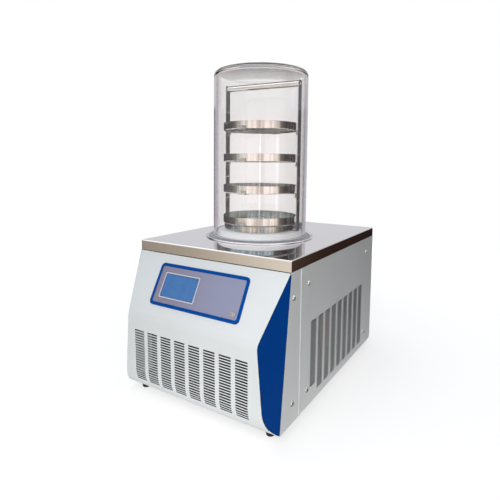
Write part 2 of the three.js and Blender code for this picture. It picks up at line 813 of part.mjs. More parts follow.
function rackLeg(word) {
  const inward = word === "left" ? 1 : -1;
  const face = legFace[word];
  const strip = blockAt(
    [face - (inward * stripThick) / 2, 0, (legFoot + rackTop) / 2],
    [stripThick, stripWidth, rackTop - legFoot],
  );
  const studs = [];
  for (let tray = 0; tray < trayCount; tray++) {
    const ends = [face - (inward * stripThick) / 2, face + inward * studLength].sort((a, b) => a - b);
    studs.push(bar(studDiameter / 2, ...ends, 8).translate(0, 0, trayLevel(tray) - studDrop));
  }
  return join(strip, ...studs);
}

// A cross of two strips: one arm reaches down to the studs, the other turns up round the tray.
function shelf() {
  const left = legFace.left + gap;
  const right = legFace.right - gap;
  const reach = trayRadius + 2 * gap;
  const heel = studDiameter / 2 - studDrop + gap;
  const arms = [
    block([left, -stripWidth / 2, shelfBottom], [right, stripWidth / 2, -gap]),
    block([-shelfWidth / 2, -reach - shelfThick, shelfBottom], [shelfWidth / 2, reach + shelfThick, -gap]),
    block([left + 2, -stripWidth / 2, heel], [left + 2 + shelfThick, stripWidth / 2, -gap]),
    block([right - 2 - shelfThick, -stripWidth / 2, heel], [right - 2, stripWidth / 2, -gap]),
    block([-shelfWidth / 2, -reach - shelfThick, shelfBottom], [shelfWidth / 2, -reach, shelfTab]),
    block([-shelfWidth / 2, reach, shelfBottom], [shelfWidth / 2, reach + shelfThick, shelfTab]),
  ];
  return join(...arms);
}

function tray() {
  return turned(
    [
      [0, 0],
      [trayRadius, 0],
      [trayRadius, trayHeight],
      [trayRadius - trayWall, trayHeight],
      [trayRadius - trayWall, trayWall],
      [0, trayWall],
    ],
    32,
  );
}

// The ring that the rack stands on, with a lug to each leg.
function rackRing() {
  const top = lowestTray + shelfBottom - gap;
  const band = ring(ringRadius - ringWall, ringRadius, legFoot, top);
  const inside = ringRadius - ringWall / 2;
  const lugs = [
    block([legFace.left + gap, -lugWidth / 2, legFoot], [-inside, lugWidth / 2, legFoot + lugHeight]),
    block([inside, -lugWidth / 2, legFoot], [legFace.right - gap, lugWidth / 2, legFoot + lugHeight]),
  ];
  return join(band, ...lugs);
}

piece(rack, "rack_leg_left", rackLeg("left"), brushedSteel);
piece(rack, "rack_leg_right", rackLeg("right"), brushedSteel);
piece(
  rack,
  "rack_handle",
  bar(handleDiameter / 2, legFace.left + gap, legFace.right - gap, 16),
  polishedSteel,
  [0, 0, rackTop - handleDrop],
);
piece(rack, "rack_ring", rackRing(), brushedSteel);
for (let i = 0; i < trayCount; i++) {
  piece(rack, `shelf_${i + 1}`, shelf(), brushedSteel, [0, 0, trayLevel(i)]);
  piece(rack, `tray_${i + 1}`, tray(), polishedSteel, [0, 0, trayLevel(i)]);
}

// ---------------------------------------------------------------- refrigeration unit
const fanY = condenserY + condenserDepth / 2 + gap + shroudThick + collarDepth;
const fanZ = baseTop + condenserLift + condenserHeight / 2;
const motorFront = fanY + fanThick / 2 + 3;
const motorRear = motorFront + motorLength;
const compressorFoot = baseTop + 2 * gap + mountHeight;

function compressor() {
  const top = compressorFoot + compressorPlate + compressorHeight;
  const half = mountLength / 2;
  const base = block([-half, -half, compressorFoot], [half, half, compressorFoot + compressorPlate]);
  const shell = turned(
    [
      [0, compressorFoot + 1],
      [0.8 * compressorRadius, compressorFoot + 1],
      [compressorRadius, compressorFoot + 18],
      [compressorRadius, top - 30],
      [0.85 * compressorRadius, top - 10],
      [0.45 * compressorRadius, top],
      [0, top],
    ],
    20,
  );
  return join(base, shell).translate(compressorX, compressorY, 0);
}

function condenser() {
  const x = condenserWidth / 2;
  const z = baseTop + condenserLift;
  const pitch = (condenserWidth - finThick) / (finCount - 1);
  const rails = [z, z + condenserHeight - finThick].map((level) =>
    block([-x, -condenserDepth / 2, level], [x, condenserDepth / 2, level + finThick]),
  );
  const fins = Array.from({ length: finCount }, (_, i) =>
    block(
      [-x + i * pitch, -condenserDepth / 2, z],
      [-x + i * pitch + finThick, condenserDepth / 2, z + condenserHeight],
    ),
  );
  const legs = [-x, x - finThick].map((start) =>
    block([start, -condenserDepth / 2, baseTop + gap], [start + finThick, condenserDepth / 2, z + 1]),
  );
  return join(...rails, ...fins, ...legs).translate(0, condenserY, 0);
}

function fanShroud() {
  const front = condenserY + condenserDepth / 2 + gap;
  const hole = backwards(disc(fanRadius + fanTip, -5, 5, 24)).translate(0, front, fanZ);
  const wall = block(
    [-condenserWidth / 2, front, fanZ - condenserHeight / 2],
    [condenserWidth / 2, front + shroudThick, fanZ + condenserHeight / 2],
  );
  const collar = backwards(ring(fanRadius + fanTip, fanRadius + fanTip + shroudThick, 0, collarDepth, 24));
  return join(cut(wall, hole), collar.translate(0, front + shroudThick / 2, fanZ));
}

function fanBracket() {
  const reach = fanRadius + fanTip + shroudThick + 12;
  const front = condenserY + condenserDepth / 2 + 2 * gap + shroudThick;
  const rear = motorRear + gap;
  const z0 = fanZ - bracketWidth / 2;
  const z1 = fanZ + bracketWidth / 2;
  return join(
    block([-reach, rear, z0], [reach, rear + bracketThick, z1]),
    block([-reach, front, z0], [-reach + bracketThick, rear + bracketThick, z1]),
    block([reach - bracketThick, front, z0], [reach, rear + bracketThick, z1]),
  );
}

function fanMotor() {
  const can = backwards(disc(motorRadius, 0, motorLength, 20)).translate(0, motorFront, fanZ);
  const shaftLength = fanThick + motorFront - fanY;
  const shaft = backwards(disc(shaftRadius, -shaftLength + fanThick / 2, 1, 10));
  return join(can, shaft.translate(0, motorFront, fanZ));
}

function fanImpeller() {
  const hub = ring(shaftRadius + 2 * gap, hubRadius, -fanThick / 2, fanThick / 2, 20);
  const blades = Array.from({ length: bladeCount }, (_, i) =>
    block([-bladeChord / 2, hubRadius - 4, -bladeThick / 2], [bladeChord / 2, fanRadius - 1, bladeThick / 2])
      .rotateY(bladePitch)
      .rotateZ((2 * Math.PI * i) / bladeCount),
  );
  return backwards(join(hub, ...blades));
}

function filterDrier() {
  const bottom = baseTop + drierLift;
  return turned(
    [
      [0, bottom],
      [pipeRadius + 1, bottom],
      [drierRadius, bottom + 12],
      [drierRadius, bottom + drierLength - 12],
      [pipeRadius + 1, bottom + drierLength],
      [0, bottom + drierLength],
    ],
    smallSides,
  ).translate(drierX, drierY, 0);
}

// A point outside the foam, at a bearing round the chamber and a height.
function besideFoam(bearing, height, away = 2 * gap) {
  const angle = THREE.MathUtils.degToRad(bearing);
  const reach = foamOuter + away;
  return [reach * Math.cos(angle), chamberBack + reach * Math.sin(angle), height];
}

const mountX = mountLength / 2 - mountWidth / 2;
for (const [word, side] of [["right", 1], ["left", -1]]) {
  piece(
    cabinet,
    `compressor_mount_${word}`,
    blockAt([0, 0, mountHeight / 2], [mountWidth, mountLength, mountHeight]),
    blackRubber,
    [compressorX + side * mountX, compressorY, baseTop + gap],
  );
}
piece(cabinet, "compressor", compressor(), blackEnamel);
piece(cabinet, "condenser", condenser(), aluminium);
piece(cabinet, "fan_shroud", fanShroud(), zincSteel);
piece(cabinet, "fan_bracket", fanBracket(), zincSteel);
piece(cabinet, "fan_motor", fanMotor(), blackEnamel);
piece(cabinet, "fan_impeller", fanImpeller(), aluminium, [0, fanY, fanZ]);
piece(cabinet, "filter_drier", filterDrier(), copper);

const compressorSide = compressorX - compressorRadius - gap;
const compressorTop = compressorFoot + compressorPlate + compressorHeight;
const condenserEnd = condenserWidth / 2 + gap;
const drierBottom = baseTop + drierLift - gap;
const drierTop = baseTop + drierLift + drierLength + gap;
const trapTop = lidTop - sheet;
const sideLane = halfWidth - laneInset;
const pipes = {
  discharge_pipe: [
    [compressorSide, compressorY, dischargeHeight],
    [compressorSide - shortLead, compressorY, dischargeHeight],
    [-sideLane, compressorY - laneTurn, dischargeHeight],
    [-sideLane, chamberBack, dischargeHeight],
    [-sideLane, lidFront + laneTurn, dischargeHeight],
    [-condenserEnd - pipeLead, condenserY, fanZ],
    [-condenserEnd, condenserY, fanZ],
  ],
  liquid_pipe: [
    [condenserEnd, condenserY, fanZ - condenserTap],
    [condenserEnd + pipeLead, condenserY, fanZ - condenserTap],
    [sideLane, lidFront + laneTurn, liquidHeight],
    [sideLane, chamberBack, liquidHeight],
    [(sideLane + drierX) / 2, drierY - pipeLead, drierBottom - pipeLead],
    [drierX, drierY, drierBottom - shortLead],
    [drierX, drierY, drierBottom],
  ],
  capillary_tube: [
    [drierX, drierY, drierTop],
    [drierX, drierY, drierTop + shortLead],
    besideFoam(35, drierTop + 0.6 * capillaryRise, pipeLead + shortLead),
    besideFoam(38, drierTop + capillaryRise, shortLead),
    besideFoam(38, drierTop + capillaryRise),
  ],
  suction_pipe: [
    besideFoam(100, trapTop - suctionDrop),
    besideFoam(100, trapTop - suctionDrop, pipeLead),
    [compressorX / 2, compressorY, (compressorTop + trapTop) / 2],
    [compressorX, compressorY, compressorTop + pipeLead],
    [compressorX, compressorY, compressorTop + gap],
  ],
};
for (const [name, points] of Object.entries(pipes)) {
  const radius = name === "capillary_tube" ? capillaryRadius : pipeRadius;
  piece(cabinet, name, pipe(points, radius, 16), copper);
}
const fittingInside = rearInside - fittingReach - gap; // where a rear fitting's inner end takes its pipe
const foamBottom = lidTop - trapDepth - trapWall - gap - foamWall;
piece(
  cabinet,
  "vacuum_pipe",
  pipe(
    [
      besideFoam(50, trapTop - suctionDrop, 3 * gap),
      besideFoam(50, trapTop - suctionDrop, vacuumLead),
      [fittingX, (foamOuter + chamberBack + lidRear) / 2, (trapTop - suctionDrop + vacuumHeight) / 2],
      [fittingX, fittingInside - 2 * vacuumLead, vacuumHeight],
      [fittingX, fittingInside - vacuumLead, vacuumHeight],
      [fittingX, fittingInside, vacuumHeight],
    ],
    vacuumBore,
    12,
    8,
  ),
  zincSteel,
);
piece(
  cabinet,
  "drain_pipe",
  pipe(
    [
      [0, chamberBack, foamBottom - gap],
      [0, chamberBack, foamBottom - pipeLead],
      [drainBend, chamberBack + drainBend, valveHeight],
      [fittingX, lidRear - laneTurn, valveHeight],
      [fittingX, fittingInside, valveHeight],
    ],
    pipeRadius,
    14,
  ),
  silicone,
);

// ---------------------------------------------------------------- electrical pieces at the back
function electricalBox() {
  const x = boxWidth / 2;
  const y = boxDepth / 2;
  return block([boxX - x, boxY - y, baseTop + gap], [boxX + x, boxY + y, baseTop + gap + boxHeight]);
}

// Rear fittings are made with their face at y = 0, looking back.
function mainsInlet() {
  const face = blockAt([0, 1.5 + gap, 0], [inletWidth, 3, inletFace]);
  const body = block(
    [-socketWidth / 2 - 2, -socketDepth, -socketHeight / 2 - 2],
    [socketWidth / 2 + 2, 1, socketHeight / 2 + 2],
  );
  const recess = block(
    [-socketWidth / 2, -socketDepth + 2, -socketHeight / 2],
    [socketWidth / 2, 10, socketHeight / 2],
  );
  const prongs = [[-7, -1.5], [0, 2.5], [7, -1.5]].map(([x, z]) =>
    blockAt([x, prongLength / 2 - socketDepth + 1.5, z], [2, prongLength, 5]),
  );
  return join(cut(join(face, body), recess), ...prongs);
}

const rockerRoom = { width: rockerHalfWidth + 0.6, height: 13.4 };

function switchHousing() {
  const face = blockAt([0, 1 + gap, 0], [switchWidth, 2, switchHeight]);
  const body = block(
    [-switchWidth / 2 + 1.5, -switchDepth, -switchHeight / 2 + 1.6],
    [switchWidth / 2 - 1.5, 1, switchHeight / 2 - 1.6],
  );
  const room = block(
    [-rockerRoom.width, -switchDepth + 1.5, -rockerRoom.height],
    [rockerRoom.width, 10, rockerRoom.height],
  );
  return cut(join(face, body), room);
}

// The rocker is a shallow V that turns about its own middle, shown with its lower half pressed.
function powerRocker() {
  const outline = [
    [-6, -6],
    [2, -11.3],
    [5.5, -11.3],
    [3.2, 0],
    [5.5, 11.3],
    [2, 11.3],
    [-6, 6],
  ];
  return extrudeAlongX(outline, -rockerHalfWidth, 2 * rockerHalfWidth).rotateX(-rockerTilt);
}

function vacuumPort() {
  const outer = vacuumBore + vacuumWall;
  const start = -sheet - fittingReach;
  return backwards(
    turned(
      [
        [vacuumBore, start],
        [outer, start],
        [outer, -sheet - gap],
        [outer, gap],
        [outer + 8, gap],
        [outer + 8, 3],
        [outer, 3],
        [outer, rearReach - 6],
        [vacuumFlange, rearReach - 4],
        [vacuumFlange, rearReach],
        [vacuumBore, rearReach],
        [vacuumBore, start],
      ],
      20,
    ),
  );
}

function airValve() {
  const start = -sheet - fittingReach;
  const body = backwards(
    turned(
      [
        [valveBore, start],
        [valveRadius - 2, start],
        [valveRadius - 2, gap],
        [valveRadius + 5, gap],
        [valveRadius + 5, 6],
        [valveRadius, 6],
        [valveRadius, rearReach - 16],
        [valveRadius - 3, rearReach - 14],
        [valveRadius - 3, rearReach],
        [valveBore, rearReach],
        [valveBore, start],
      ],
      smallSides,
    ),
  );
  const stem = disc(4, valveRadius - 3, stemHeight, 10).translate(0, stemPlace, 0);
  return join(body, stem);
}

function valveLever() {
  const arm = block([0, -leverWidth / 2, 0], [leverLength, leverWidth / 2, leverThick]);
  const hub = disc(leverWidth / 2 + 1.5, 0, leverThick + 1.5, 12);
  return join(arm, hub);
}

piece(cabinet, "electrical_box", electricalBox(), zincSteel);
piece(cabinet, "mains_inlet", mainsInlet(), blackPlastic, [inletX, lidRear, inletHeight]);
piece(cabinet, "switch_housing", switchHousing(), blackPlastic, [switchX, lidRear, inletHeight]);
piece(cabinet, "power_rocker", powerRocker(), redPlastic, [switchX, lidRear - 0.5, inletHeight]);
piece(cabinet, "vacuum_port", vacuumPort(), polishedSteel, [fittingX, lidRear, vacuumHeight]);
piece(cabinet, "air_valve", airValve(), brass, [fittingX, lidRear, valveHeight]);
piece(cabinet, "air_valve_lever", valveLever(), redPlastic, [
  fittingX,
  lidRear + stemPlace,
  valveHeight + stemHeight + gap,
]);

export default freezeDryer;
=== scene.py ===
"""A bench-top freeze dryer, dressed round its construction model.

Shapes are worked out in millimetres, in the model's own frame: +Z up, the front towards -Y.
finish_piece scales each finished mesh to metres.
"""
import math

import bmesh
import bpy
from mathutils import Matrix, Vector


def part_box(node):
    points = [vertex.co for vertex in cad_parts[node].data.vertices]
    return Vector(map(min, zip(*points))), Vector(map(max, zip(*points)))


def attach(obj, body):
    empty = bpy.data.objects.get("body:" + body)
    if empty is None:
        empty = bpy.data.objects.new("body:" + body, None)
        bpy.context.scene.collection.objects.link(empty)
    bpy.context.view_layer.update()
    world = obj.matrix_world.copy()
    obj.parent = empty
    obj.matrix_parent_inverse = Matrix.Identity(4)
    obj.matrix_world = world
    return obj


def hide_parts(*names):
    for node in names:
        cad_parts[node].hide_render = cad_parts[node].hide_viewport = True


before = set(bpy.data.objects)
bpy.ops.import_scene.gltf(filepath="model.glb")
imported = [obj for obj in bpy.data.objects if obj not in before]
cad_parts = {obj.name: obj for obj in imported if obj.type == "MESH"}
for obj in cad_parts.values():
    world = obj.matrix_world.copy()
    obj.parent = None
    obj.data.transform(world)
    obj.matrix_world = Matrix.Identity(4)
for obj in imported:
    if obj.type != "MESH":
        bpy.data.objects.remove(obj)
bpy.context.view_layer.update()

MM = 0.001
X, Y, Z = Vector((1, 0, 0)), Vector((0, 1, 0)), Vector((0, 0, 1))


def box(node):
    """The lowest and highest corner of a construction node, in millimetres."""
    low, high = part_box(node)
    return low / MM, high / MM


def middle(node):
    low, high = box(node)
    return (low + high) / 2


# ---------------------------------------------------------------- sizes, in millimetres
CLEARANCE = 0.3
SHEET = 1.5
FRONT_SHEET = 1.2
BEND_HEIGHT = 220  # of the front panel's bend above the bench
BEND_RADIUS = 9
NOSE_REACH = 80
LOWER_LEAN = 2.5
LIP_GAP = 1.6  # between the deck's lip and the front panel
CHIN_HEIGHT = 82  # where the lower face starts to curve under
CHIN_RADIUS = 75
CHIN_FLANGE = 18
CHEEK_TURN = math.radians(30)
CHEEK_BASE_REACH = 42.5
LOUVRE = 31.7
HEM = (3, 1.4)  # width and height of the fold along a side panel's front edge
LOUVRE_CORNER = 0.9
FRONT_LOUVRES = {"columns": 8, "rows": 21, "across": 43.1, "down": 6.35, "drop": 40, "height": 3.7}
SIDE_LOUVRES = {"columns": 9, "across": 43.4, "down": 6.6, "top": 221, "middle": 24.5, "height": 4.2}
BORDER = 8
JAR_WALL = 8.2
JAR_KNUCKLE = 14
JAR_CROWN = 800
JAR_TOP = 11.5  # thickness of the crown
TRAY_WALL = 1
SEAL_STEP = 2.5  # flat left round the jar before the seal slopes down
SEAL_FLANGE = 1.3  # height of its outer edge above the ring
SEAL_GLOW = 0.2  # painted light: a faint glow given to the milky rubber
RACK_TURN = math.radians(3.4)
HOLE_PITCH = 62

lid_low, lid_high = box("lid")
half_width = lid_high.x
panel_top = lid_low.z - CLEARANCE
base_level = box("front_panel")[0].z
bend = Vector((0, lid_low.y - NOSE_REACH, BEND_HEIGHT))
slant_top = Vector((0, lid_low.y, panel_top))
slant_tilt = math.atan2(panel_top - BEND_HEIGHT, NOSE_REACH)
chamber = middle("tray_1").xy


# ---------------------------------------------------------------- materials
def linear(code):
    """An sRGB colour written as #rrggbb, as the linear values that a shader takes."""
    shares = [int(code[i:i + 2], 16) / 255 for i in (1, 3, 5)]
    return (*[s / 12.92 if s <= 0.04045 else ((s + 0.055) / 1.055) ** 2.4 for s in shares], 1)


def per_metre(millimetres):
    """A texture scale that makes one cell of a pattern this wide."""
    return 1 / (millimetres * MM)


def add(tree, kind, inputs=(), **settings):
    """Adds a node. Its inputs are given by name or number, as values or as sockets to link."""
    node = tree.nodes.new(kind)
    for name, value in settings.items():
        setattr(node, name, value)
    for name, value in dict(inputs).items():
        if isinstance(value, bpy.types.NodeSocket):
            tree.links.new(value, node.inputs[name])
        else:
            node.inputs[name].default_value = value
    return node


def begin(name, constants):
    """A new material, its node tree, its surface shader with these constants, and object coordinates."""
    made = bpy.data.materials.new(name)
    made.use_nodes = True
    tree = made.node_tree
    shader = tree.nodes["Principled BSDF"]
    for socket, value in constants.items():
        shader.inputs[socket].default_value = value
    return made, tree, shader, add(tree, "ShaderNodeTexCoord").outputs["Object"]


def mottle(tree, place, size, low, high, shader, socket, detail=2):
    """Lets one socket of the shader drift between two values over cells of a size in millimetres."""
    cells = add(tree, "ShaderNodeTexNoise", {"Vector": place, "Scale": per_metre(size), "Detail": detail})
    if isinstance(low, str):
        blend = add(
            tree, "ShaderNodeMix", {0: cells.outputs[0], 6: linear(low), 7: linear(high)}, data_type="RGBA"
        ).outputs[2]
    else:
        blend = add(
            tree, "ShaderNodeMapRange", {0: cells.outputs[0], 1: 0.3, 2: 0.7, 3: low, 4: high}
        ).outputs[0]
    tree.links.new(blend, shader.inputs[socket])


def relief(tree, height, depth, shader, strength=1.0):
    """Raises the surface by a pattern, with its depth in millimetres."""
    bump = add(tree, "ShaderNodeBump", {"Height": height, "Distance": depth * MM, "Strength": strength})
    tree.links.new(bump.outputs[0], shader.inputs["Normal"])


def stretched(tree, place, sizes):
    """Object coordinates scaled so that one cell of a pattern has these three sizes in millimetres."""
    return add(
        tree, "ShaderNodeMapping", {"Vector": place, "Scale": [per_metre(size) for size in sizes]}
    ).outputs[0]


def axis_distance(tree, place):
    """How far a point lies from the chamber's upright axis, in metres."""
    from_axis = add(tree, "ShaderNodeVectorMath", {0: place, 1: (*chamber * MM, 0)}, operation="SUBTRACT")
    level = add(tree, "ShaderNodeVectorMath", {0: from_axis.outputs[0], 1: (1, 1, 0)}, operation="MULTIPLY")
    return add(tree, "ShaderNodeVectorMath", {0: level.outputs[0]}, operation="LENGTH").outputs["Value"]


def powder_coat(name, shade, tone, gloss=(0.34, 0.42), shine=0.5, outside=None):
    """Powder-coated sheet steel: an even satin with a faint orange peel and no grain. A depth given as
    outside paints what lies in front of it near black, as painted shade inside the cabinet."""
    made, tree, shader, place = begin(name, {"IOR": 1.5, "Specular IOR Level": shine})
    mottle(tree, place, 140, shade, tone, shader, "Base Color")
    if outside:
        # Near black in front of the given depth: painted shade on the sheet's inner side.
        coat = shader.inputs["Base Color"].links[0].from_socket
        depth = add(tree, "ShaderNodeSeparateXYZ", {0: place}).outputs[1]
        behind = add(tree, "ShaderNodeMapRange", {0: depth, 1: (outside - 0.2) * MM, 2: outside * MM}).outputs[0]
        tint = add(tree, "ShaderNodeMix", {0: behind, 6: linear("#16171a"), 7: coat}, data_type="RGBA")
        tree.links.new(tint.outputs[2], shader.inputs["Base Color"])
    mottle(tree, place, 9, *gloss, shader, "Roughness")
    peel = add(tree, "ShaderNodeTexNoise", {"Vector": place, "Scale": per_metre(2.2), "Detail": 1})
    relief(tree, peel.outputs[0], 0.02, shader)
    return made


def polished_stainless(name="polished_stainless_steel"):
    """Mirror-polished stainless sheet: a clear reflection that wanders a little, with fine wipe marks
    on the flat and a lengthwise brush on the turned-down edges."""
    made, tree, shader, place = begin(name, {"Base Color": linear("#e3e1e2"), "Metallic": 1})
    facing = add(tree, "ShaderNodeTexCoord").outputs["Normal"]
    upward = add(tree, "ShaderNodeSeparateXYZ", {0: facing}).outputs[2]
    brush = add(
        tree, "ShaderNodeTexNoise", {"Vector": stretched(tree, place, (70, 70, 0.5)), "Scale": 1, "Detail": 3}
    ).outputs[0]
    wipe = add(tree, "ShaderNodeTexNoise", {"Vector": place, "Scale": per_metre(35), "Detail": 4}).outputs[0]
    polish = add(tree, "ShaderNodeMapRange", {0: wipe, 1: 0.35, 2: 0.7, 3: 0.02, 4: 0.05}).outputs[0]
    satin = add(tree, "ShaderNodeMapRange", {0: brush, 1: 0.3, 2: 0.7, 3: 0.04, 4: 0.09}).outputs[0]
    level = add(tree, "ShaderNodeMapRange", {0: upward, 1: 0.6, 2: 0.9}).outputs[0]
    rough = add(tree, "ShaderNodeMix", {0: level, 2: satin, 3: polish}).outputs[0]
    tree.links.new(rough, shader.inputs["Roughness"])
    wave = add(tree, "ShaderNodeTexNoise", {"Vector": place, "Scale": per_metre(90), "Detail": 0}).outputs[0]
    relief(tree, wave, 0.05, shader)
    return made


def brushed_stainless(name, sizes, shade="#8f8c88", tone="#d9d6d1", rough=(0.16, 0.32), depth=0.02):
    """Brushed stainless: fine parallel scratches, here drawn wide enough to show as streaks."""
    made, tree, shader, place = begin(name, {"Metallic": 1})
    grain = stretched(tree, place, sizes)
    cells = add(tree, "ShaderNodeTexNoise", {"Vector": grain, "Scale": 1, "Detail": 3}).outputs[0]
    streak = add(tree, "ShaderNodeMapRange", {0: cells, 1: 0.35, 2: 0.65}).outputs[0]
    tint = add(
        tree, "ShaderNodeMix", {0: streak, 6: linear(shade), 7: linear(tone)}, data_type="RGBA"
    ).outputs[2]
    tree.links.new(tint, shader.inputs["Base Color"])
    dull = add(tree, "ShaderNodeMapRange", {0: streak, 3: rough[0], 4: rough[1]}).outputs[0]
    tree.links.new(dull, shader.inputs["Roughness"])
    relief(tree, cells, depth, shader)
    return made


def spun_stainless(name="spun_stainless_trays"):
    """Spun stainless sheet: bright outside with a few broad upright streaks, duller and greyer inside."""
    made, tree, shader, place = begin(name, {"Metallic": 1})
    cells = add(
        tree, "ShaderNodeTexNoise", {"Vector": stretched(tree, place, (9, 9, 300)), "Scale": 1, "Detail": 2}
    ).outputs[0]
    streak = add(tree, "ShaderNodeMapRange", {0: cells, 1: 0.4, 2: 0.6}).outputs[0]
    wall = box("tray_1")[1].x
    outside = add(
        tree, "ShaderNodeMapRange", {0: axis_distance(tree, place), 1: (wall - 0.6) * MM, 2: wall * MM}
    ).outputs[0]
    bright = add(
        tree, "ShaderNodeMix", {0: streak, 6: linear("#dcd9d4"), 7: linear("#fdfbf8")}, data_type="RGBA"
    ).outputs[2]
    dull = add(
        tree, "ShaderNodeMix", {0: streak, 6: linear("#d4d2c4"), 7: linear("#fdfbf6")}, data_type="RGBA"
    ).outputs[2]
    tint = add(tree, "ShaderNodeMix", {0: outside, 6: dull, 7: bright}, data_type="RGBA").outputs[2]
    tree.links.new(tint, shader.inputs["Base Color"])
    rough = add(tree, "ShaderNodeMapRange", {0: outside, 3: 0.2, 4: 0.06}).outputs[0]
    tree.links.new(rough, shader.inputs["Roughness"])
    relief(tree, cells, 0.12, shader)
    return made


def cast_acrylic(name="clear_cast_acrylic"):
    """Cast acrylic: clear, with a trace of violet grey where it is seen edge on. Lamps shine through."""
    made, tree, shader, place = begin(name, {"IOR": 1.49, "Transmission Weight": 1})
    facing = add(tree, "ShaderNodeLayerWeight", {"Blend": 0.5}).outputs["Facing"]
    edge = add(
        tree, "ShaderNodeMapRange", {0: facing, 1: 0.7, 2: 1.0}, interpolation_type="SMOOTHSTEP"
    ).outputs[0]
    tint = add(
        tree, "ShaderNodeMix", {0: edge, 6: linear("#f7f5f5"), 7: linear("#d6d3dc")}, data_type="RGBA"
    ).outputs[2]
    tree.links.new(tint, shader.inputs["Base Color"])
    mottle(tree, place, 60, 0.0, 0.02, shader, "Roughness")
    lamps = add(tree, "ShaderNodeLightPath").outputs["Is Shadow Ray"]
    clear = add(tree, "ShaderNodeBsdfTransparent").outputs[0]
    either = add(tree, "ShaderNodeMixShader", {0: lamps, 1: shader.outputs[0], 2: clear})
    tree.links.new(either.outputs[0], tree.nodes["Material Output"].inputs["Surface"])
    return made


def seal_rubber(name="milky_silicone_rubber"):
    """Moulded silicone rubber, milky where thick, grey on the flange as painted shade, with a faint painted glow."""
    made, tree, shader, place = begin(
        name, {"IOR": 1.41, "Subsurface Weight": 0.5, "Subsurface Radius": (1, 1, 1), "Subsurface Scale": 0.006}
    )
    foot = box("bell_jar")[1].x
    flange_shade = add(
        tree, "ShaderNodeMapRange", {0: axis_distance(tree, place), 1: (foot - 1) * MM, 2: (foot + 2) * MM}
    ).outputs[0]
    cells = add(tree, "ShaderNodeTexNoise", {"Vector": place, "Scale": per_metre(30), "Detail": 2}).outputs[0]
    milk = add(
        tree, "ShaderNodeMix", {0: cells, 6: linear("#f3f8fd"), 7: linear("#fcfeff")}, data_type="RGBA"
    ).outputs[2]
    # Grey on the flange outside the jar's foot: painted shade for the channel between jar and rim.
    tint = add(tree, "ShaderNodeMix", {0: flange_shade, 6: milk, 7: linear("#8d8c94")}, data_type="RGBA").outputs[2]
    tree.links.new(tint, shader.inputs["Base Color"])
    # The tint also glows faintly: painted light that brightens the rubber, which is no lamp.
    tree.links.new(tint, shader.inputs["Emission Color"])
    shader.inputs["Emission Strength"].default_value = SEAL_GLOW
    mottle(tree, place, 6, 0.28, 0.4, shader, "Roughness")
    return made


def silicone(name, shade, tone):
    """Moulded silicone rubber: milky, with light passing a little way in."""
    made, tree, shader, place = begin(
        name,
        {
            "IOR": 1.41,
            "Subsurface Weight": 0.5,
            "Subsurface Radius": (1, 1, 1),
            "Subsurface Scale": 0.006,
        },
    )
    mottle(tree, place, 30, shade, tone, shader, "Base Color")
    mottle(tree, place, 6, 0.28, 0.4, shader, "Roughness")
    return made


def black_rubber(name="black_nitrile_rubber"):
    """Moulded rubber: nearly black and dull, with a fine even grain."""
    made, tree, shader, place = begin(name, {"IOR": 1.52})
    mottle(tree, place, 8, "#141518", "#26282c", shader, "Base Color")
    mottle(tree, place, 3, 0.6, 0.85, shader, "Roughness")
    grain = add(tree, "ShaderNodeTexNoise", {"Vector": place, "Scale": per_metre(0.7), "Detail": 2})
    relief(tree, grain.outputs[0], 0.04, shader)
    return made


def moulded_plastic(name, shade, tone, rough=(0.35, 0.5), shine=0.5):
    """Moulded ABS: a soft sheen broken by a fine spark-eroded grain."""
    made, tree, shader, place = begin(name, {"IOR": 1.53, "Specular IOR Level": shine})
    mottle(tree, place, 25, shade, tone, shader, "Base Color")
    mottle(tree, place, 5, *rough, shader, "Roughness")
    grain = add(tree, "ShaderNodeTexVoronoi", {"Vector": place, "Scale": per_metre(0.6)})
    relief(tree, grain.outputs[0], 0.008, shader)
    return made


def plated_metal(name, shade, tone, size=14, rough=(0.3, 0.5)):
    """Zinc-plated, drawn or cast metal: dull, with cloudy patches."""
    made, tree, shader, place = begin(name, {"Metallic": 1})
    mottle(tree, place, size, shade, tone, shader, "Base Color", detail=4)
    mottle(tree, place, size / 2, *rough, shader, "Roughness", detail=4)
    grain = add(tree, "ShaderNodeTexNoise", {"Vector": place, "Scale": per_metre(1.5), "Detail": 3})
    relief(tree, grain.outputs[0], 0.01, shader)
    return made


def overlay_film(name="printed_polycarbonate_film"):
    """Screen-printed polycarbonate film: grey violet, with painted shade making it darker and browner to the left.
    """
    made, tree, shader, place = begin(name, {"IOR": 1.58})
    across = add(tree, "ShaderNodeSeparateXYZ", {0: place}).outputs[0]
    # Painted shade: the film darkens and browns towards the left, as the light falls across the slant.
    share = add(tree, "ShaderNodeMapRange", {0: across, 1: -0.12, 2: 0.06}).outputs[0]
    tint = add(
        tree, "ShaderNodeMix", {0: share, 6: linear("#878195"), 7: linear("#9093ad")}, data_type="RGBA"
    ).outputs[2]
    tree.links.new(tint, shader.inputs["Base Color"])
    mottle(tree, place, 4, 0.3, 0.4, shader, "Roughness")
    grain = add(tree, "ShaderNodeTexNoise", {"Vector": place, "Scale": per_metre(0.8), "Detail": 1})
    relief(tree, grain.outputs[0], 0.006, shader)
    return made


def display_glass(name="lit_display_glass"):
    """A backlit liquid-crystal display under glass: a calm blue with faint clouding."""
    made, tree, shader, place = begin(name, {"IOR": 1.52, "Roughness": 0.12, "Emission Strength": 0.06})
    mottle(tree, place, 26, "#3569a6", "#457bb6", shader, "Base Color")
    mottle(tree, place, 26, "#2f6cb4", "#4786cc", shader, "Emission Color")
    return made


def rubber_foam(name="closed_cell_rubber_foam"):
    """Closed-cell rubber foam, as wrapped round cold pots: dull black with a pitted skin."""
    made, tree, shader, place = begin(name, {"IOR": 1.5})
    mottle(tree, place, 3, "#17181a", "#26272a", shader, "Base Color")
    mottle(tree, place, 2, 0.8, 0.95, shader, "Roughness")
    cells = add(tree, "ShaderNodeTexVoronoi", {"Vector": place, "Scale": per_metre(1.2)})
    relief(tree, cells.outputs[0], 0.4, shader)
    return made


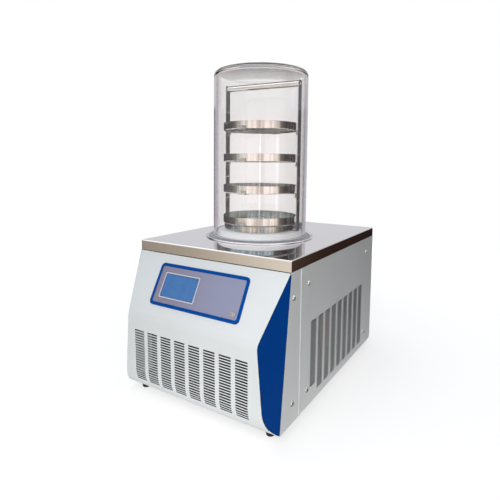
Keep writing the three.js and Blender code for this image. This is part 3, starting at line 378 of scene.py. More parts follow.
WHITE = powder_coat("white_powder_coat", "#dfe3e4", "#e9edee")
# Near black on its inner side as painted shade inside the cabinet.
REAR_WHITE = powder_coat("white_outside_painted_shade_inside", "#dfe3e4", "#e9edee", outside=lid_high.y - 0.4)
BLUE = powder_coat("blue_powder_coat", "#003780", "#003e8a", gloss=(0.45, 0.55), shine=0.05)
MIRROR = polished_stainless()
RACK_STEEL = brushed_stainless("lengthwise_brushed_stainless", (1.2, 1.2, 60), "#a09e9a", "#d2cfca")
TRAY_STEEL = spun_stainless()
HOOP_STEEL = brushed_stainless("upright_brushed_stainless", (5, 5, 160), "#a5a29a", "#e3dfd6", (0.1, 0.2), depth=0.1)
TUBE_STEEL = plated_metal("polished_stainless_tube", "#dedbd8", "#efecea", 30, (0.05, 0.1))
SHELF_STEEL = brushed_stainless("crosswise_brushed_stainless", (20, 1.5, 20), "#a19e9a", "#d8d5d0")
SCREW_STEEL = plated_metal("nickel_plated_steel", "#dcdad8", "#efedeb", 3, (0.1, 0.16))
RIM_STEEL = plated_metal("satin_spun_stainless", "#e6e5e8", "#f6f5f7", 40, (0.18, 0.26))
ACRYLIC = cast_acrylic()
SILICONE = seal_rubber()
HOSE = silicone("clear_silicone_hose", "#dcdcd6", "#e8e8e2")
RUBBER = black_rubber()
BORDER_BLUE = moulded_plastic("blue_screen_print", "#004593", "#004f9f", (0.5, 0.6), shine=0.1)
FILM = overlay_film()
BEZEL = moulded_plastic("pale_grey_abs", "#d6d2da", "#e2dfe6")
DISPLAY = display_glass()
BLACK_ABS = moulded_plastic("black_abs", "#121315", "#1d1e21")
RED_ABS = moulded_plastic("red_abs", "#95120f", "#a81b16", (0.25, 0.35))
WHITE_PRINT = moulded_plastic("white_pad_print", "#e4e4e2", "#f2f2f0")
ZINC = plated_metal("zinc_plated_steel", "#8b8e91", "#a9acae")
COPPER = plated_metal("drawn_copper", "#7d4f35", "#96664a", 20, (0.35, 0.5))
ALUMINIUM = plated_metal("mill_finish_aluminium", "#b4b7ba", "#cfd2d4", 10)
BRASS = plated_metal("turned_brass", "#b8954a", "#cba85c", 8, (0.18, 0.3))
ENAMEL = powder_coat("black_stove_enamel", "#0f1011", "#191a1c", gloss=(0.25, 0.35))
# Near black, also laid on the panels' inner faces and slot walls as painted shade inside the cabinet.
PRIMER_AND_INSIDE_SHADE = powder_coat("black_primer_and_painted_inside_shade", "#121315", "#1a1b1d", gloss=(0.6, 0.7), shine=0.2)
FOAM = rubber_foam()
BOARD = moulded_plastic("green_solder_mask", "#17492a", "#21603a", (0.3, 0.45))


# ---------------------------------------------------------------- shape tools
def finish_piece(bm, name, look, stands_for=(), body="cabinet", edge=0.0, steps=2, sharp=32, inward=None):
    """Turns a bmesh in millimetres into a finished piece on a body, its sharp edges rounded by a radius.
    The faces that pass the inward test, by their normal and middle, are painted near black as painted shade."""
    bmesh.ops.remove_doubles(bm, verts=bm.verts, dist=0.002)
    bmesh.ops.recalc_face_normals(bm, faces=bm.faces)
    bmesh.ops.scale(bm, vec=(MM, MM, MM), verts=bm.verts)
    mesh = bpy.data.meshes.new(name)
    bm.to_mesh(mesh)
    bm.free()
    mesh.shade_smooth()
    mesh.materials.append(look)
    if inward:
        mesh.materials.append(PRIMER_AND_INSIDE_SHADE)
        for face in mesh.polygons:
            face.material_index = int(inward(face.normal, face.center / MM))
    piece = bpy.data.objects.new(name, mesh)
    bpy.context.scene.collection.objects.link(piece)
    if edge:
        soften(piece, edge, steps, sharp)
    else:
        mesh.set_sharp_from_angle(angle=math.radians(sharp))
        flatness = piece.modifiers.new("flat_faces_kept_flat", "WEIGHTED_NORMAL")
        flatness.keep_sharp = True
    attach(piece, body)
    if stands_for:
        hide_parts(*stands_for)
    return piece


def soften(piece, edge, steps=2, sharp=32):
    """Rounds every edge that is sharper than an angle."""
    rounding = piece.modifiers.new("rounded_edges", "BEVEL")
    rounding.width = edge * MM
    rounding.segments = steps
    rounding.limit_method = "ANGLE"
    rounding.angle_limit = math.radians(sharp)
    rounding.harden_normals = True


def dress(look, *nodes, edge=0.0):
    """Gives construction nodes their finish, and rounded edges where the shape is plain enough."""
    for name in nodes:
        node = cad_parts[name]
        node.data.materials.clear()
        node.data.materials.append(look)
        if edge:
            weld = node.modifiers.new("welded", "WELD")
            weld.merge_threshold = 0.01 * MM
            soften(node, edge)


def chain(bm, points, closed=False, steps=6):
    """Edges through points. A fourth number in a point rounds the corner there."""
    verts = [bm.verts.new(point[:3]) for point in points]
    ends = verts[1:] + verts[:1] if closed else verts[1:]
    for pair in zip(verts, ends):
        bm.edges.new(pair)
    for vert, point in zip(verts, points):
        if len(point) > 3 and point[3]:
            bmesh.ops.bevel(
                bm,
                geom=[vert],
                offset=point[3],
                offset_type="OFFSET",
                segments=steps,
                profile=0.5,
                affect="VERTICES",
                material=-1,
            )


def spun(outline, centre=(0, 0, 0), closed=False, turns=96, steps=6):
    """A shape turned about an upright axis, from points of radius, height and rounding."""
    bm = bmesh.new()
    chain(bm, [(p[0], 0, p[1], p[2] if len(p) > 2 else 0) for p in outline], closed, steps)
    bmesh.ops.spin(
        bm,
        geom=bm.verts[:] + bm.edges[:],
        cent=(0, 0, 0),
        axis=Z,
        angle=2 * math.pi,
        steps=turns,
        use_merge=True,
    )
    bmesh.ops.remove_doubles(bm, verts=bm.verts, dist=0.001)
    bmesh.ops.translate(bm, vec=centre, verts=bm.verts)
    return bm


def drawn_out(outline, along, length, thickness=0.0, closed=False, steps=6):
    """A chain of edges drawn out into a sheet or, where it closes, into a block."""
    bm = bmesh.new()
    chain(bm, outline, closed, steps)
    if closed:
        face = bm.faces.new(ordered_loop(bm))
        drawn = bmesh.ops.extrude_face_region(bm, geom=[face])
    else:
        drawn = bmesh.ops.extrude_edge_only(bm, edges=bm.edges[:])
    moved = [part for part in drawn["geom"] if isinstance(part, bmesh.types.BMVert)]
    bmesh.ops.translate(bm, vec=along * length, verts=moved)
    bmesh.ops.recalc_face_normals(bm, faces=bm.faces)
    if thickness:
        bmesh.ops.solidify(bm, geom=bm.faces[:], thickness=thickness)
    return bm


def ordered_loop(bm):
    """The vertices of a closed chain in their order along it."""
    start = bm.edges[:][0]
    loop = [start.verts[0], start.verts[1]]
    edge = start
    while True:
        edge = next(e for e in loop[-1].link_edges if e is not edge)
        following = edge.other_vert(loop[-1])
        if following is loop[0]:
            return loop
        loop.append(following)


def slab(low, high):
    """A block between two corners."""
    bm = bmesh.new()
    bmesh.ops.create_cube(bm, size=1)
    low, high = Vector(low), Vector(high)
    bmesh.ops.scale(bm, vec=high - low, verts=bm.verts)
    bmesh.ops.translate(bm, vec=(low + high) / 2, verts=bm.verts)
    return bm


def rod(radius, start, end, sides=32):
    """A round bar between two points."""
    bm = bmesh.new()
    start, end = Vector(start), Vector(end)
    place = Matrix.Translation((start + end) / 2) @ (end - start).to_track_quat("Z", "Y").to_matrix().to_4x4()
    bmesh.ops.create_cone(
        bm,
        cap_ends=True,
        segments=sides,
        radius1=radius,
        radius2=radius,
        depth=(end - start).length,
        matrix=place,
    )
    return bm


def round_edges(bm, choose, radius, steps=4):
    """Rounds the edges that a test picks by their direction and middle."""
    chosen = []
    for edge in bm.edges:
        start, end = edge.verts[0].co, edge.verts[1].co
        if choose((end - start).normalized(), (start + end) / 2):
            chosen.append(edge)
    bmesh.ops.bevel(
        bm,
        geom=chosen,
        offset=radius,
        offset_type="OFFSET",
        segments=steps,
        profile=0.5,
        affect="EDGES",
        material=-1,
    )


def copies(shape, places):
    """Copies of a shape at each of some matrices, as one bmesh."""
    pattern = bpy.data.meshes.new("pattern")
    shape.to_mesh(pattern)
    shape.free()
    whole = bmesh.new()
    for place in places:
        done = len(whole.verts)
        whole.from_mesh(pattern)
        whole.verts.ensure_lookup_table()
        bmesh.ops.transform(whole, matrix=place, verts=whole.verts[done:])
    bpy.data.meshes.remove(pattern)
    return whole


def together(*shapes):
    """Several shapes as one bmesh."""
    whole = bmesh.new()
    for shape in shapes:
        holder = bpy.data.meshes.new("part")
        shape.to_mesh(holder)
        shape.free()
        whole.from_mesh(holder)
        bpy.data.meshes.remove(holder)
    return whole


def carved(shape, tool, operation="DIFFERENCE"):
    """One closed shape with another cut out of it, or joined to it."""
    holders = []
    for bm in (shape, tool):
        bmesh.ops.recalc_face_normals(bm, faces=bm.faces)
        mesh = bpy.data.meshes.new("shape")
        bm.to_mesh(mesh)
        bm.free()
        holder = bpy.data.objects.new("shape", mesh)
        bpy.context.scene.collection.objects.link(holder)
        holders.append(holder)
    cut = holders[0].modifiers.new("cut", "BOOLEAN")
    cut.object = holders[1]
    cut.operation = operation
    cut.solver = "EXACT"
    result = bmesh.new()
    result.from_object(holders[0], bpy.context.evaluated_depsgraph_get())
    for holder in holders:
        mesh = holder.data
        bpy.data.objects.remove(holder)
        bpy.data.meshes.remove(mesh)
    return result


def turned_to(point, axis, outward=Z):
    """A matrix that puts a shape's own +Z along an axis, at a point."""
    return Matrix.Translation(point) @ Vector(axis).to_track_quat("Z", "Y").to_matrix().to_4x4()


def louvre(height, depth=12):
    """A slot's cutter: wide across X, thin along Z and deep along Y, with rounded corners."""
    bm = slab((-LOUVRE / 2, -depth / 2, -height / 2), (LOUVRE / 2, depth / 2, height / 2))
    round_edges(bm, lambda way, at: abs(way.y) > 0.9, LOUVRE_CORNER, 3)
    return bm


# ---------------------------------------------------------------- cabinet
def cheek_plane(side):
    """A point on a cheek's outer face, and the direction it faces."""
    forward = Vector((-side * math.sin(CHEEK_TURN), -math.cos(CHEEK_TURN), 0))
    upward = Vector((0, 1 + CHEEK_BASE_REACH, panel_top - base_level)).normalized()
    outward = upward.cross(forward).normalized()
    if outward.x * side < 0:
        outward.negate()
    return Vector((side * half_width, lid_low.y + 1, panel_top)), outward


def lid():
    low, high = box("lid")
    bm = slab(low, high)
    under = [face for face in bm.faces if face.calc_center_median().z < low.z + 1]
    bmesh.ops.delete(bm, geom=under, context="FACES")
    round_edges(bm, lambda way, at: abs(way.z) > 0.9, 4, 6)
    round_edges(bm, lambda way, at: abs(way.z) < 0.1 and at.z > high.z - 0.1 and is_rim(at, low, high), 3)
    bmesh.ops.recalc_face_normals(bm, faces=bm.faces)
    bmesh.ops.solidify(bm, geom=bm.faces[:], thickness=SHEET)
    mouth = rod(box("cooling_coil")[1].x - 8, (*chamber, low.z - 5), (*chamber, high.z + 5), 96)
    bm = carved(bm, mouth)
    finish_piece(bm, "deck_sheet", MIRROR, ["lid"])


def is_rim(at, low, high):
    """Whether a point lies near the outer boundary of a box seen from above."""
    return min(at.x - low.x, high.x - at.x, at.y - low.y, high.y - at.y) < 3


def front_skin():
    """The front panel's outer line in the centre plane: slant, bend, lower face and chin."""
    bm = bmesh.new()
    chin = Vector((0, bend.y + LOWER_LEAN, CHIN_HEIGHT))
    top = slant_top + (bend - slant_top).normalized() * LIP_GAP
    chain(bm, [tuple(top), (*bend, BEND_RADIUS), tuple(chin)], steps=8)
    last = min(bm.verts, key=lambda v: v.co.z)
    sweep = math.asin((CHIN_HEIGHT - base_level) / CHIN_RADIUS)
    turned = bmesh.ops.spin(
        bm, geom=[last], cent=chin + Y * CHIN_RADIUS, axis=X, angle=sweep, steps=20
    )
    foot = next(part for part in turned["geom_last"] if isinstance(part, bmesh.types.BMVert))
    if foot.co.z > chin.z:
        raise ValueError("the chin curls the wrong way")
    flange = bmesh.ops.extrude_vert_indiv(bm, verts=[foot])["verts"]
    bmesh.ops.translate(bm, vec=Y * CHIN_FLANGE, verts=flange)
    return bm


def point_down(distance):
    """A point on the lower face and chin at a distance below the bend, and the way it faces."""
    chin = Vector((0, bend.y + LOWER_LEAN, CHIN_HEIGHT))
    straight = (chin - bend).length
    if distance <= straight:
        way = (chin - bend).normalized()
        return bend + way * distance, math.atan2(way.y, -way.z)
    angle = (distance - straight) / CHIN_RADIUS
    centre = chin + Y * CHIN_RADIUS
    return centre + Vector((0, -math.cos(angle), -math.sin(angle))) * CHIN_RADIUS, angle


def front_panel():
    bm = front_skin()
    bmesh.ops.translate(bm, vec=-X * half_width, verts=bm.verts)
    drawn = bmesh.ops.extrude_edge_only(bm, edges=bm.edges[:])
    moved = [part for part in drawn["geom"] if isinstance(part, bmesh.types.BMVert)]
    bmesh.ops.translate(bm, vec=2 * half_width * X, verts=moved)
    for side in (1, -1):
        point, outward = cheek_plane(side)
        everything = bm.verts[:] + bm.edges[:] + bm.faces[:]
        bmesh.ops.bisect_plane(bm, geom=everything, plane_co=point, plane_no=outward, clear_outer=True)
    for vert in bm.verts:
        if vert.co.z < base_level + 0.1 and abs(vert.co.x) > half_width - SHEET - 2 * CLEARANCE:
            vert.co.x = math.copysign(half_width - SHEET - 2 * CLEARANCE, vert.co.x)
    bmesh.ops.recalc_face_normals(bm, faces=bm.faces)
    front = max(bm.faces, key=lambda face: face.calc_area())
    if front.normal.y > 0:
        bmesh.ops.reverse_faces(bm, faces=bm.faces)
    bmesh.ops.solidify(bm, geom=bm.faces[:], thickness=FRONT_SHEET)
    grid = FRONT_LOUVRES
    places = []
    for row in range(grid["rows"]):
        point, tilt = point_down(grid["drop"] + row * grid["down"])
        for column in range(grid["columns"]):
            across = (column - (grid["columns"] - 1) / 2) * grid["across"]
            places.append(Matrix.Translation(point + X * across) @ Matrix.Rotation(tilt, 4, "X"))
    bm = carved(bm, copies(louvre(grid["height"]), places))
    for node in ("screen", "data_port"):
        window = plate_on_slant(node, 1.0, 30)
        bm = carved(bm, window)
    finish_piece(
        # Inner faces and slot walls go near black: painted shade inside the cabinet and in the louvres.
        bm, "front_sheet", WHITE, ["front_panel"], inward=lambda way, at: way.y > -0.2 or way.z > 0.6
    )


def side_panel(side, word):
    low, high = box(f"side_panel_{word}")
    outer = side * half_width
    inner = outer - side * SHEET
    bm = slab((min(inner, outer), low.y, low.z), (max(inner, outer), high.y, high.z))
    corner = Vector((0, high.y - 22, low.z))
    rise = Vector((0, 22, 8))
    cut = bmesh.ops.bisect_plane(
        bm,
        geom=bm.verts[:] + bm.edges[:] + bm.faces[:],
        plane_co=corner,
        plane_no=Vector((0, rise.z, -rise.y)),
        clear_outer=True,
    )
    open_edges = [part for part in cut["geom_cut"] if isinstance(part, bmesh.types.BMEdge)]
    bmesh.ops.contextual_create(bm, geom=open_edges)
    bmesh.ops.recalc_face_normals(bm, faces=bm.faces)
    round_edges(bm, lambda way, at: abs(way.x) < 0.1 and abs(at.x - outer) < 0.1, 1.3, 3)
    hem = slab(
        (min(inner, outer + side * HEM[1]), low.y, low.z + CLEARANCE),
        (max(inner, outer + side * HEM[1]), low.y + HEM[0], high.z - CLEARANCE),
    )
    round_edges(hem, lambda way, at: abs(way.z) > 0.9 and abs(at.x) > abs(outer), 0.8, 3)
    bm = carved(bm, hem, "UNION")
    grid = SIDE_LOUVRES
    rows = 28 if side > 0 else 8
    places = []
    for column in range(grid["columns"]):
        for row in range(rows):
            if side > 0 and column == 0 and row >= rows - 3:
                continue
            y = grid["middle"] + (column - (grid["columns"] - 1) / 2) * grid["across"]
            point = Vector((outer, y, grid["top"] - row * grid["down"]))
            places.append(Matrix.Translation(point) @ Matrix.Rotation(math.pi / 2, 4, "Z"))
    bm = carved(bm, copies(louvre(grid["height"]), places))

    def in_field(at):
        return min(at.y - low.y, high.y - at.y, at.z - low.z, high.z - at.z) > 12

    finish_piece(
        bm,
        f"side_sheet_{word}",
        WHITE,
        [f"side_panel_{word}"],
        # Inner face and slot walls go near black: painted shade inside the cabinet and in the louvres.
        inward=lambda way, at: way.x * side < -0.9 or abs(way.x) < 0.9 and in_field(at),
    )


def plate_on_slant(node, margin, depth):
    """A cutter through the slanted face round a node that lies on it."""
    low, high = box(node)
    place = slant_matrix()
    flat = place.inverted()
    corners = [flat @ Vector((x, y, z)) for x in (low.x, high.x) for y in (low.y, high.y) for z in (low.z, high.z)]
    middle_height = sum(c.y for c in corners) / 8
    half_across = (high.x - low.x) / 2 + margin
    size = {"screen": 58.0, "data_port": 9.5}[node]
    bm = slab(
        (middle(node).x - half_across, middle_height - size / 2, -depth),
        (middle(node).x + half_across, middle_height + size / 2, depth),
    )
    bmesh.ops.transform(bm, matrix=place, verts=bm.verts)
    return bm


def slant_matrix():
    """The slanted face's own frame: x across, y up the slope, z out of it, centred on the control panel."""
    across, upward = X, (slant_top - bend).normalized()
    outward = across.cross(upward)
    panel = middle("console_frame")
    foot = bend + upward * (panel - bend).dot(upward)
    foot.x = panel.x
    place = Matrix((across, upward, outward)).transposed().to_4x4()
    place.translation = foot
    return place


lid()
front_panel()
side_panel(1, "right")
side_panel(-1, "left")
dress(REAR_WHITE, "rear_panel")
dress(WHITE, "side_strip_right", "side_strip_left", edge=0.6)
dress(BLUE, "cheek_right", "cheek_left")
dress(PRIMER_AND_INSIDE_SHADE, "base_pan")


def feet():
    for word in ("front_right", "front_left", "rear_right", "rear_left"):
        low, high = box(f"foot_{word}")
        radius = (high.x - low.x) / 2
        outline = [(0, 0), (0.78 * radius, 0, 1.5), (radius, high.z - 2, 1), (radius, high.z, 0.6), (0, high.z)]
        place = middle(f"foot_{word}")
        bm = spun(outline, (place.x, place.y, 0), turns=48, steps=3)
        finish_piece(bm, f"rubber_foot_{word}", RUBBER, [f"foot_{word}"])


feet()


# ---------------------------------------------------------------- control panel
def rounded_plate(width, height, radius, thickness, opening=None):
    """A plate with rounded corners lying on z = 0, with an opening of its own width, height and radius."""
    def outline(w, h, r):
        return [(-w / 2, -h / 2, 0, r), (w / 2, -h / 2, 0, r), (w / 2, h / 2, 0, r), (-w / 2, h / 2, 0, r)]

    bm = drawn_out(outline(width, height, radius), Z, thickness, closed=True, steps=8)
    if opening:
        tool = drawn_out(outline(*opening), Z, 4 * thickness, closed=True, steps=6)
        bmesh.ops.translate(tool, vec=-Z * 2 * thickness, verts=tool.verts)
        bm = carved(bm, tool)
    return bm


def control_panel():
    place = slant_matrix()
    frame_low, frame_high = box("console_frame")
    width = frame_high.x - frame_low.x
    height = (frame_high - frame_low).yz.length - 2
    lift = Matrix.Translation((0, 0, CLEARANCE))
    bezel = middle("screen_bezel")
    bezel_low, bezel_high = box("screen_bezel")
    bezel_width = bezel_high.x - bezel_low.x
    at_screen = place.inverted() @ bezel
    window = (bezel_width - 5, 58, 1)
    bm = rounded_plate(width, 106, 11, 1.6, (width - 2 * BORDER, 106 - 2 * BORDER, 5))
    bmesh.ops.transform(bm, matrix=place @ lift, verts=bm.verts)
    finish_piece(bm, "panel_border", BORDER_BLUE, ["console_frame"], edge=0.35)
    bm = rounded_plate(width - 2 * BORDER - 0.4, 106 - 2 * BORDER - 0.4, 4.8, 1.2)
    bmesh.ops.transform(bm, matrix=place @ lift, verts=bm.verts)
    for node in ("screen", "data_port"):
        bm = carved(bm, plate_on_slant(node, 0.6, 10))
    finish_piece(bm, "panel_film", FILM, ["console_face"])
    bm = rounded_plate(bezel_width, 63, 2.5, 1.8, window)
    shift = Matrix.Translation((bezel.x, at_screen.y, 1.9))
    bmesh.ops.transform(bm, matrix=place @ shift, verts=bm.verts)
    finish_piece(bm, "display_bezel", BEZEL, ["screen_bezel"], edge=0.5)


control_panel()
dress(DISPLAY, "screen")
dress(SCREW_STEEL, "data_port")
dress(BOARD, "control_board")


# ---------------------------------------------------------------- deck ring, seal and jar
def deck_ring():
    """The trap and the deck ring, spun as one piece with a rolled rim."""
    low, high = box("cold_trap")
    outer = (high.x - low.x) / 2
    inner = outer - 4.5
    mouth = box("cooling_coil")[1].x - 8 - 1.2 - SHEET
    floor = lid_high.z + CLEARANCE
    outline = [
        (0, low.z),
        (mouth + SHEET, low.z, 8),
        (mouth + SHEET, floor),
        (outer, floor, 0.6),
        (outer, high.z, 1.6),
        (inner, high.z, 1.6),
        (inner - 0.8, floor + SHEET, 0.8),
        (mouth, floor + SHEET, 1),
        (mouth, low.z + SHEET, 6.5),
        (0, low.z + SHEET),
    ]
    bm = spun(outline, (*chamber, 0), turns=128)
    finish_piece(bm, "trap_and_deck_ring", RIM_STEEL, ["cold_trap"])


def seal():
    low, high = box("jar_seal")
    outer = (high.x - low.x) / 2
    jar_low, jar_high = box("bell_jar")
    bore = (jar_high.x - jar_low.x) / 2 - JAR_WALL
    inner = box("rack_ring")[1].y - chamber.y - SHEET
    flat = jar_low.z - CLEARANCE
    outline = [
        (inner, low.z),
        (outer, low.z, 0.3),
        (outer, low.z + SEAL_FLANGE, 0.5),
        (bore + JAR_WALL + SEAL_STEP, low.z + SEAL_FLANGE + 0.6, 3),
        (bore + JAR_WALL + 1.2, flat, 1.2),
        (bore - 1.2, flat, 1.5),
        (bore - 4, high.z - 2, 3),
        (bore - 8, high.z, 4),
        (inner, high.z, 1.5),
    ]
    bm = spun(outline, (*chamber, 0), closed=True, turns=128)
    finish_piece(bm, "silicone_seal", SILICONE, ["jar_seal"])


def dome(radius, knuckle, crown, shoulder):
    """Half the section of a jar's end: a tight shoulder that runs into a shallow crown."""
    across = radius - knuckle
    centre = shoulder - math.sqrt((crown - knuckle) ** 2 - across ** 2)
    meet = math.asin(across / (crown - knuckle))
    steps = 14
    points = []
    for i in range(steps + 1):
        angle = math.pi / 2 + (meet - math.pi / 2) * i / steps
        points.append((across + knuckle * math.sin(angle), shoulder + knuckle * math.cos(angle)))
    for i in range(1, steps + 1):
        angle = meet * (1 - i / steps)
        points.append((crown * math.sin(angle), centre + crown * math.cos(angle)))
    return points


def bell_jar():
    low, high = box("bell_jar")
    radius = (high.x - low.x) / 2
    crown_rise = JAR_CROWN - math.sqrt((JAR_CROWN - JAR_KNUCKLE) ** 2 - (radius - JAR_KNUCKLE) ** 2)
    shoulder = high.z - crown_rise
    outside = dome(radius, JAR_KNUCKLE, JAR_CROWN, shoulder)
    lower = shoulder + JAR_WALL - JAR_TOP
    inside = dome(radius - JAR_WALL, JAR_KNUCKLE - JAR_WALL, JAR_CROWN - JAR_WALL, lower)
    foot = [(radius - JAR_WALL, low.z, 1), (radius, low.z, 1)]
    bm = spun([*inside[::-1], *foot, *outside], (*chamber, 0), turns=144, steps=4)
    finish_piece(bm, "acrylic_jar", ACRYLIC, ["bell_jar"], sharp=60)


deck_ring()
seal()
bell_jar()


# ---------------------------------------------------------------- rack, shelves and trays
RACK = Matrix.Translation((*chamber, 0)) @ Matrix.Rotation(RACK_TURN, 4, "Z")
LEG_WIDTH = 22
LEG_FACES = {"left": -109.5, "right": 113.5}
PIN_RADIUS = 3
PIN_LENGTH = 9
PIN_DROP = 9  # from a tray's underside to the pins' axis
TRAYS = [f"tray_{number}" for number in (1, 2, 3, 4)]


def rack_leg(word):
    face = LEG_FACES[word]
    inward = 1 if word == "left" else -1
    low, high = box(f"rack_leg_{word}")
    back = face - inward * SHEET
    bm = slab(
        (min(face, back), -LEG_WIDTH / 2, low.z),
        (max(face, back), LEG_WIDTH / 2, high.z),
    )
    round_edges(bm, lambda way, at: abs(way.x) > 0.9, 3, 5)
    levels = [low.z + 20 + HOLE_PITCH * i for i in range(int((high.z - low.z - 30) / HOLE_PITCH) + 1)]
    holes = [Matrix.Translation((face, y, z)) for z in levels for y in (-4.5, 4.5)]
    bm = carved(bm, copies(rod(2.3, -5 * X, 5 * X, 16), holes))
    bmesh.ops.transform(bm, matrix=RACK, verts=bm.verts)
    finish_piece(bm, f"leg_strip_{word}", RACK_STEEL, [f"rack_leg_{word}"], edge=0.25)
    pin = spun(
        [(0, 0), (PIN_RADIUS, 0), (PIN_RADIUS, PIN_LENGTH - 3), (0.6, PIN_LENGTH, 0.4), (0, PIN_LENGTH)],
        turns=24,
        steps=2,
    )
    places = [
        turned_to((face, 0, box(tray)[0].z - PIN_DROP), inward * X) for tray in TRAYS
    ]
    bm = copies(pin, places)
    bmesh.ops.transform(bm, matrix=RACK, verts=bm.verts)
    finish_piece(bm, f"leg_pins_{word}", RACK_STEEL, sharp=50)


def rack_handle():
    low, high = box("rack_handle")
    radius = (high.z - low.z) / 2
    level = middle("rack_handle").z
    ends = [LEG_FACES["left"] + CLEARANCE, LEG_FACES["right"] - CLEARANCE]
    bm = rod(radius, (ends[0], 0, level), (ends[1], 0, level), 48)
    bmesh.ops.transform(bm, matrix=RACK, verts=bm.verts)
    finish_piece(bm, "handle_tube", TUBE_STEEL, ["rack_handle"], edge=0.6)
    places = [
        turned_to((LEG_FACES["left"] - SHEET, 0, level), -X),
        turned_to((LEG_FACES["right"] + SHEET, 0, level), X),
    ]
    bm = copies(screw_head(3.6, 2.2), places)
    bmesh.ops.transform(bm, matrix=RACK, verts=bm.verts)
    finish_piece(bm, "handle_screws", SCREW_STEEL)


def screw_head(radius, height):
    """A round head with a cross recess, standing on z = 0."""
    curve = (radius**2 + height**2) / (2 * height)
    reach = math.asin(radius / curve)
    cap = [(curve * math.sin(reach * i / 6), height - curve * (1 - math.cos(reach * i / 6))) for i in range(7)]
    bm = spun([*cap, (radius, -0.2), (0, -0.2)], turns=28, steps=3)
    wide, narrow = 0.5 * radius, 0.11 * radius
    cross = together(
        slab((-wide, -narrow, 0.45 * height), (wide, narrow, 2 * height)),
    )
    bm = carved(bm, cross)
    return carved(bm, slab((-narrow, -wide, 0.45 * height), (narrow, wide, 2 * height)))


def rack_ring():
    low, high = box("rack_ring")
    radius = (high.y - low.y) / 2
    outline = [(radius - SHEET, low.z), (radius, low.z), (radius, high.z), (radius - SHEET, high.z)]
    bm = spun(outline, closed=True, turns=96)
    bmesh.ops.transform(bm, matrix=RACK, verts=bm.verts)
    finish_piece(bm, "base_ring", HOOP_STEEL, ["rack_ring"], edge=0.3)
    lugs = together(
        slab((LEG_FACES["left"] + CLEARANCE, -6, low.z), (-radius + 1, 6, low.z + SHEET)),
        slab((radius - 1, -6, low.z), (LEG_FACES["right"] - CLEARANCE, 6, low.z + SHEET)),
    )
    bmesh.ops.transform(lugs, matrix=RACK, verts=lugs.verts)
    finish_piece(lugs, "base_ring_lugs", RACK_STEEL, edge=0.3)


def shelf(tray, name, node):
    """A cross of sheet steel: two arms turn down to the pins, and two turn up round the tray."""
    low, high = box(tray)
    level = low.z - CLEARANCE
    radius = (high.y - low.y) / 2 + 0.2
    reach = radius + 2 * CLEARANCE
    left, right = LEG_FACES["left"] + 1.5, LEG_FACES["right"] - 1.5
    heel = low.z - PIN_DROP + PIN_RADIUS + CLEARANCE
    bm = bmesh.new()
    half_x, half_y = 11.5, LEG_WIDTH / 2
    corners = [(-half_x, -half_y), (half_x, -half_y), (half_x, half_y), (-half_x, half_y)]
    bm.faces.new([bm.verts.new((x, y, level)) for x, y in corners])
    ends = {
        "left": (Vector((left + half_x, 0, 0)), Vector((0, 0, heel - level))),
        "right": (Vector((right - half_x, 0, 0)), Vector((0, 0, heel - level))),
        "front": (Vector((0, half_y - reach, 0)), Vector((0, 0, 9))),
        "back": (Vector((0, reach - half_y, 0)), Vector((0, 0, 9))),
    }
    sides = {
        "left": lambda at: at.x < -half_x + 0.1,
        "right": lambda at: at.x > half_x - 0.1,
        "front": lambda at: at.y < -half_y + 0.1,
        "back": lambda at: at.y > half_y - 0.1,
    }
    first = {
        word: next(e for e in bm.edges if test((e.verts[0].co + e.verts[1].co) / 2)) for word, test in sides.items()
    }
    bends = []
    for word, (outward, upright) in ends.items():
        edge = first[word]
        for step in (outward, upright):
            drawn = bmesh.ops.extrude_edge_only(bm, edges=[edge])["geom"]
            bmesh.ops.translate(bm, vec=step, verts=[p for p in drawn if isinstance(p, bmesh.types.BMVert)])
            edge = next(p for p in drawn if isinstance(p, bmesh.types.BMEdge))
            if step is outward:
                bends.append(edge)
    bmesh.ops.bevel(bm, geom=bends, offset=1.6, segments=3, profile=0.5, affect="EDGES", material=-1)
    bmesh.ops.recalc_face_normals(bm, faces=bm.faces)
    centre = next(f for f in bm.faces if f.calc_center_median().xy.length < 1)
    if centre.normal.z < 0:
        bmesh.ops.reverse_faces(bm, faces=bm.faces)
    bmesh.ops.solidify(bm, geom=bm.faces[:], thickness=SHEET)
    bmesh.ops.transform(bm, matrix=RACK, verts=bm.verts)
    finish_piece(bm, name, SHELF_STEEL, [node], edge=0.2)


def tray(node, name):
    low, high = box(node)
    radius = (high.y - low.y) / 2 + 0.2
    outline = [
        (0, low.z),
        (radius, low.z, 2.5),
        (radius, high.z, 0.45),
        (radius - TRAY_WALL, high.z, 0.45),
        (radius - TRAY_WALL, low.z + TRAY_WALL, 1.5),
        (0, low.z + TRAY_WALL),
    ]
    bm = spun(outline, turns=128, steps=4)
    bmesh.ops.transform(bm, matrix=RACK, verts=bm.verts)
    finish_piece(bm, name, TRAY_STEEL, [node])


for leg in LEG_FACES:
    rack_leg(leg)
rack_handle()
rack_ring()
for number, node in enumerate(TRAYS, 1):
    shelf(node, f"tray_carrier_{number}", f"shelf_{number}")
    tray(node, f"round_tray_{number}")


# ---------------------------------------------------------------- screws of the cabinet
def panel_screws():
    """Pan-head screws of the side and rear panels."""
    heights = {"top": lid_high.z - 70, "bottom": lid_high.z - 328.5}
    strip_heights = (lid_high.z - 85, lid_high.z - 325)
    for side, word in ((1, "right"), (-1, "left")):
        face = side * half_width
        points = [(face, y, z) for z in heights.values() for y in (-181.5, 248)]
        points += [(face, -258.5, z) for z in strip_heights]
        bm = copies(screw_head(7.2, 3.6), [turned_to(point, side * X) for point in points])
        finish_piece(bm, f"side_screws_{word}", SCREW_STEEL)
    rear = lid_high.y
    points = [(x, rear, z) for x in (-205, 0, 205) for z in (40, 345)] + [(x, rear, 195) for x in (-205, 205)]
    bm = copies(screw_head(3.6, 2), [turned_to(point, Y) for point in points])
    finish_piece(bm, "rear_screws", SCREW_STEEL)


panel_screws()

